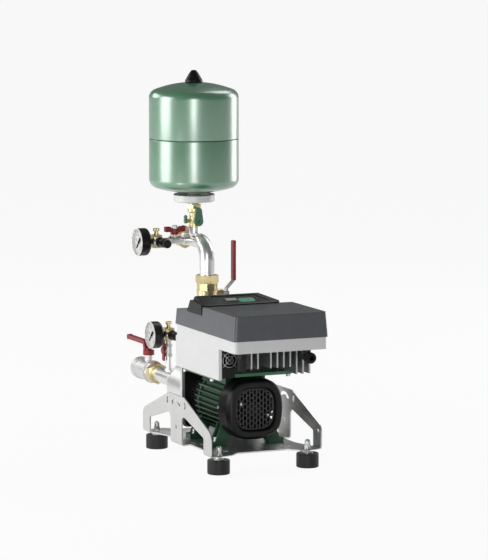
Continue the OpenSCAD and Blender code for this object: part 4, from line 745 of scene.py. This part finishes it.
def panel_place(x_mm, y_mm, z_mm):
    """Matrix of a spot on the display: X to the right, Y up the tilt, Z out of the face."""
    tilt = Matrix.Rotation(math.radians(PANEL_TILT), 4, "X")
    spot = Matrix.Translation((x_mm * MM, y_mm * MM, z_mm * MM))
    return Matrix.Translation(PANEL_POINT) @ tilt @ spot


def vessel_outline(sizes):
    """Outline of the vessel from the top of its dome down to its neck."""
    r, k, lip = sizes.vessel_r, sizes.knuckle_r, sizes.seam_lip
    top, dome, seam, bottom, base, neck = (z * MM for z in (831.8, 795.6, 703.3, 611, 578, 552.6))
    groove = 0.8 * MM
    neck_r = 12 * MM

    def head(h):
        crown = ((r - k) ** 2 + h ** 2 - k ** 2) / (2 * (h - k))
        meet = math.degrees(math.asin((r - k) / (crown - k)))
        return crown, meet

    crown, meet = head(top - dome)
    points = arc((0, top - crown), crown, 90, 90 - meet, 24)
    points += arc((r - k, dome), k, 90 - meet, 0, 16)[1:]
    points += arc((r - lip, seam + groove + lip), lip, 0, -90, 5)
    points += [(r - 3 * MM, seam + groove), (r - 3 * MM, seam - groove)]
    points += arc((r - lip, seam - groove - lip), lip, 90, 0, 5)
    crown, meet = head(bottom - base)
    points += arc((r - k, bottom), k, 0, meet - 90, 16)
    lower = arc((0, base + crown), crown, meet - 90, -90, 24)[1:]
    points += [point for point in lower if point[0] > neck_r + 2 * MM]
    points += arc((neck_r + 2 * MM, base - 1.6 * MM), 2 * MM, 90, 180, 4)
    return points + [(neck_r, neck), (0, neck)]


# Length of the outlet's thread in mm, and height of the upper handle's wings over its hub in m
THREAD_L = 20
WING_RISE = 5 * MM


def capped_nut(name, across, height):
    """A hexagon nut on its stud, its top chamfered, standing on the origin."""
    deselect()
    bpy.ops.mesh.primitive_cylinder_add(vertices=6, radius=across / math.sqrt(3), depth=height)
    nut = bpy.context.object
    put(nut, Matrix.Translation((0, 0, height / 2)))
    select_faces(nut, "Z")
    bpy.ops.mesh.inset(thickness=across * 0.06)
    bpy.ops.transform.translate(value=(0, 0, across * 0.05))
    bpy.ops.mesh.inset(thickness=across * 0.16)
    bpy.ops.transform.translate(value=(0, 0, -across * 0.08))
    bpy.ops.object.mode_set(mode="OBJECT")
    radius = across * 0.27
    stud = turned("stud", [(0, height * 0.6), (radius, height * 0.6), (radius, height * 1.06),
                           (radius * 0.8, height * 1.13), (0, height * 1.13)], 24)
    return join(name, [nut, stud])


class BOOSTER_OT_base(bpy.types.Operator):
    """Finish the base frame, its feet and the fixings"""
    bl_idname = "booster.base"
    bl_label = "Base frame"

    def execute(self, context):
        colours = context.scene.booster_colours
        paint(brushed_stainless(colours), "base_frame")
        paint(moulded_rubber(colours), "rubber_feet", "vessel_diaphragm", "shaft_seal")
        paint(zinc_plated(colours), "foot_fixings", "fixing_screws", "motor_bolts", "bearings",
              "rotor_core", "axial_fan_guard")
        return {"FINISHED"}


class BOOSTER_OT_motor(bpy.types.Operator):
    """Finish the motor, its cowl and what turns in it"""
    bl_idname = "booster.motor"
    bl_label = "Motor"

    def execute(self, context):
        colours = context.scene.booster_colours
        paint(motor_enamel(colours), "motor_housing")
        paint(plate_enamel(colours), "adapter_plate")
        paint(copper_winding(), "stator")
        paint(textured_plastic("black_polyamide", colours.black, 0.36), "motor_fan", "lantern",
              "coupling_guard")
        paint(cowl_moulding(colours), "fan_cowl")
        return {"FINISHED"}


class BOOSTER_OT_pump(bpy.types.Operator):
    """Finish the pump casing, its inside and the pipes"""
    bl_idname = "booster.pump"
    bl_label = "Pump and pipes"

    def execute(self, context):
        colours = context.scene.booster_colours
        sizes = context.scene.booster_sizes
        paint(satin_stainless(colours), "pump_casing", "stage_chambers", "impellers")
        paint(polished_stainless(colours), "pump_shaft", "discharge_pipe", "suction_pipe",
              "discharge_valve_ball", "suction_valve_ball")
        paint(cast_stainless(colours), "suction_valve_body", "cock_bodies")
        paint(bare_brass(colours), "check_valve_body", "discharge_valve_body",
              "union_nuts", "sensor_blocks", "brass_plugs", "flow_valve_body", "air_valve")
        paint(threaded_brass(colours, sizes), "outlet_union")
        zinc = zinc_plated(colours)
        paint(zinc, "discharge_lever")
        nut = capped_nut("upper_handle_nut", 11 * MM, 7.2 * MM)
        tap = next(j for j in frame["record"]["behaviour"]["joints"] if j["child"] == "upper_tap")
        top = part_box("upper_cock_handle")[1][2] - WING_RISE
        hub = Vector((tap["pos_m"][0], tap["pos_m"][1], top))
        finish_piece(put(nut, Matrix.Translation(hub)), zinc, "upper_tap")
        paint(dipped_vinyl("red_vinyl", colours.red), "discharge_grip", "suction_lever",
              "upper_cock_handle", "lower_cock_handle")
        return {"FINISHED"}


class BOOSTER_OT_converter(bpy.types.Operator):
    """Finish the converter and lay the bare badge on its display"""
    bl_idname = "booster.converter"
    bl_label = "Converter"

    def execute(self, context):
        colours = context.scene.booster_colours
        sizes = context.scene.booster_sizes
        paint(powder_coat(colours), "converter_housing")
        paint(textured_plastic("grey_moulded_lid", colours.lid, 0.4, 0.6, 2.6, 0.4),
              "converter_lid")
        paint(die_cast_aluminium(colours), "heat_sink")
        black = textured_plastic("black_moulding", colours.black, 0.38)
        paint(black, "control_panel", "axial_fan_frame", "axial_fan_rotor", "cable_glands")
        paint(smooth_plastic("display_film", linear("1c1d1e"), 0.18), "display_window")
        paint(circuit_board(), "power_board")
        badge = plate("display_badge", (sizes.badge_l, sizes.badge_w, 0.5 * MM), 9 * MM, 0.12 * MM)
        finish_piece(put(badge, panel_place(4.7, 17.7, -0.2)),
                     smooth_plastic("badge_green", colours.badge, 0.3), "frame")
        strip = plate("display_strip", (sizes.strip_l, sizes.strip_w, 0.3 * MM), 2 * MM, 0.1 * MM)
        finish_piece(put(strip, panel_place(-29.5, 25, -0.3)),
                     smooth_plastic("display_glass", linear("bcc0be"), 0.15), "frame")
        return {"FINISHED"}


class BOOSTER_OT_gauges(bpy.types.Operator):
    """Finish the gauges and print their dials"""
    bl_idname = "booster.gauges"
    bl_label = "Gauges"

    def execute(self, context):
        colours = context.scene.booster_colours
        sizes = context.scene.booster_sizes
        paint(gauge_case(colours), "gauge_cases")
        paint(sensor_body(colours), "pressure_sensors")
        paint(smooth_plastic("white_dial", colours.white, 0.4), "gauge_dials")
        paint(clear_pane(), "gauge_glasses")
        ink = matt_ink(colours)
        green = smooth_plastic("dial_green", colours.green, 0.4)
        paint(ink, "upper_pointer", "lower_pointer")
        for pointer in POINTERS:
            side = pointer.split("_")[0]
            finish_piece(dial_print(side + "_dial_print", pointer, sizes), ink, "frame")
            finish_piece(needle(side + "_needle_blade", pointer, sizes), ink, side + "_needle")
            finish_piece(dial_mark(side + "_dial_mark", pointer), green, "frame")
        return {"FINISHED"}


class BOOSTER_OT_vessel(bpy.types.Operator):
    """Finish the vessel and its flow valve"""
    bl_idname = "booster.vessel"
    bl_label = "Vessel"

    def execute(self, context):
        colours = context.scene.booster_colours
        sizes = context.scene.booster_sizes
        metallic = metallic_paint(colours)
        paint(metallic, "vessel_shells")
        skin = turned("vessel_skin", vessel_outline(sizes), 160)
        put(skin, Matrix.Translation((0, frame_y("vessel_shells"), 0)))
        finish_piece(skin, metallic, "frame")
        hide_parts("vessel_shells")
        paint(ring_nylon(colours), "vessel_ring")
        paint(dipped_vinyl("green_polyamide", colours.green), "flow_lever", "drain_handle")
        paint(textured_plastic("black_cap", colours.black, 0.38), "vessel_cap")
        return {"FINISHED"}


def soft_light(name, position, size, watts, aim=(0, 0.05, 0.42)):
    """A rectangular studio light turned to a point."""
    data = bpy.data.lights.new(name, "AREA")
    data.shape = "RECTANGLE"
    data.size, data.size_y = size
    data.energy = watts
    obj = bpy.data.objects.new(name, data)
    bpy.context.scene.collection.objects.link(obj)
    obj.location = position
    obj.rotation_euler = (Vector(aim) - Vector(position)).to_track_quat("-Z", "Y").to_euler()
    return obj


# Share of even white that the floor shows to the camera, and to mirrored rays
FLOOR_SEEN = 0.93
FLOOR_MIRRORED = 0.5


def pale_floor():
    """White floor: even to the camera, with only a breath of contact shadow."""
    deselect()
    bpy.ops.mesh.primitive_plane_add(size=60)
    floor = bpy.context.object
    floor.name = "floor"
    material = bpy.data.materials.new("pale_floor")
    material.use_nodes = True
    tree = material.node_tree
    shader = tree.nodes["Principled BSDF"]
    shader.inputs["Base Color"].default_value = (0.86, 0.86, 0.86, 1)
    shader.inputs["Roughness"].default_value = 0.9
    glow = add_node(tree, "Emission", inputs={"Color": (1, 1, 1, 1), "Strength": 1.0})
    path = add_node(tree, "LightPath")
    seen = add_node(tree, "Math", {"operation": "MULTIPLY"}, {
        0: path.outputs["Is Camera Ray"], 1: FLOOR_SEEN})
    share = add_node(tree, "Math", {"operation": "MULTIPLY_ADD"}, {
        0: path.outputs["Is Glossy Ray"], 1: FLOOR_MIRRORED, 2: seen.outputs[0]})
    mix = add_node(tree, "MixShader", inputs={
        0: share.outputs[0], 1: shader.outputs[0], 2: glow.outputs[0]})
    tree.links.new(mix.outputs[0], tree.nodes["Material Output"].inputs["Surface"])
    floor.data.materials.append(material)


# Camera solved from the photograph
CAMERA_PLACE = (-2.9463, -6.8129, 1.3255)
CAMERA_AIM = (0.031895, 0, 0.399773)
CAMERA_LENS = 215.06


class BOOSTER_OT_stage(bpy.types.Operator):
    """Lay the floor, light the unit and set up the camera"""
    bl_idname = "booster.stage"
    bl_label = "Stage"

    def execute(self, context):
        scene = context.scene
        pale_floor()
        soft_light("left_softbox", (-2.95, 0.7, 1.15), (1.7, 2.2), 50)
        soft_light("edge_strip", (-1.15, -0.5, 0.14), (0.12, 0.26), 1.3, (0, -0.15, 0.25))
        soft_light("front_strip", (-1.3, -2.9, 0.95), (0.7, 1.8), 25)
        soft_light("right_rim", (2.9, 0.8, 1.15), (1.4, 2.2), 34)
        soft_light("floor_pool", (-1.7, 2.6, 1.6), (1.6, 1.6), 24, (-1.0, 1.9, 0.0))
        soft_light("top", (1.7, 1.3, 2.8), (1.5, 1.5), 16)
        world = bpy.data.worlds.new("studio")
        world.use_nodes = True
        world.node_tree.nodes["Background"].inputs["Color"].default_value = (1, 1, 1, 1)
        world.node_tree.nodes["Background"].inputs["Strength"].default_value = 0.15
        scene.world = world
        scene.view_settings.view_transform = "Standard"
        data = bpy.data.cameras.new("camera")
        data.lens = CAMERA_LENS
        data.sensor_width = 36
        data.sensor_fit = "AUTO"
        data.clip_end = 100
        camera = bpy.data.objects.new("camera", data)
        scene.collection.objects.link(camera)
        camera.location = CAMERA_PLACE
        view = Vector(CAMERA_AIM) - Vector(CAMERA_PLACE)
        camera.rotation_euler = view.to_track_quat("-Z", "Y").to_euler()
        scene.camera = camera
        return {"FINISHED"}


OPERATORS = (BOOSTER_OT_base, BOOSTER_OT_motor, BOOSTER_OT_pump, BOOSTER_OT_converter,
             BOOSTER_OT_gauges, BOOSTER_OT_vessel, BOOSTER_OT_stage)


class BOOSTER_PT_panel(bpy.types.Panel):
    """Sidebar panel of the pressure booster unit"""
    bl_idname = "BOOSTER_PT_panel"
    bl_label = "Pressure booster unit"
    bl_space_type = "VIEW_3D"
    bl_region_type = "UI"
    bl_category = "Booster"

    def draw(self, context):
        for group in (context.scene.booster_sizes, context.scene.booster_colours):
            box = self.layout.box()
            for key in group.bl_rna.properties.keys():
                if key not in {"rna_type", "name"}:
                    box.prop(group, key)
        for operator in OPERATORS:
            self.layout.operator(operator.bl_idname)


CLASSES = (BoosterColours, BoosterSizes, *OPERATORS, BOOSTER_PT_panel)


def register():
    for cls in CLASSES:
        bpy.utils.register_class(cls)
    bpy.types.Scene.booster_colours = bpy.props.PointerProperty(type=BoosterColours)
    bpy.types.Scene.booster_sizes = bpy.props.PointerProperty(type=BoosterSizes)


def unregister():
    del bpy.types.Scene.booster_sizes
    del bpy.types.Scene.booster_colours
    for cls in reversed(CLASSES):
        bpy.utils.unregister_class(cls)


def main():
    """Runs the add-on's operators in turn."""
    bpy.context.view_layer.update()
    register()
    bpy.ops.booster.base()
    bpy.ops.booster.motor()
    bpy.ops.booster.pump()
    bpy.ops.booster.converter()
    bpy.ops.booster.gauges()
    bpy.ops.booster.vessel()
    bpy.ops.booster.stage()


if __name__ == "__main__":
    main()
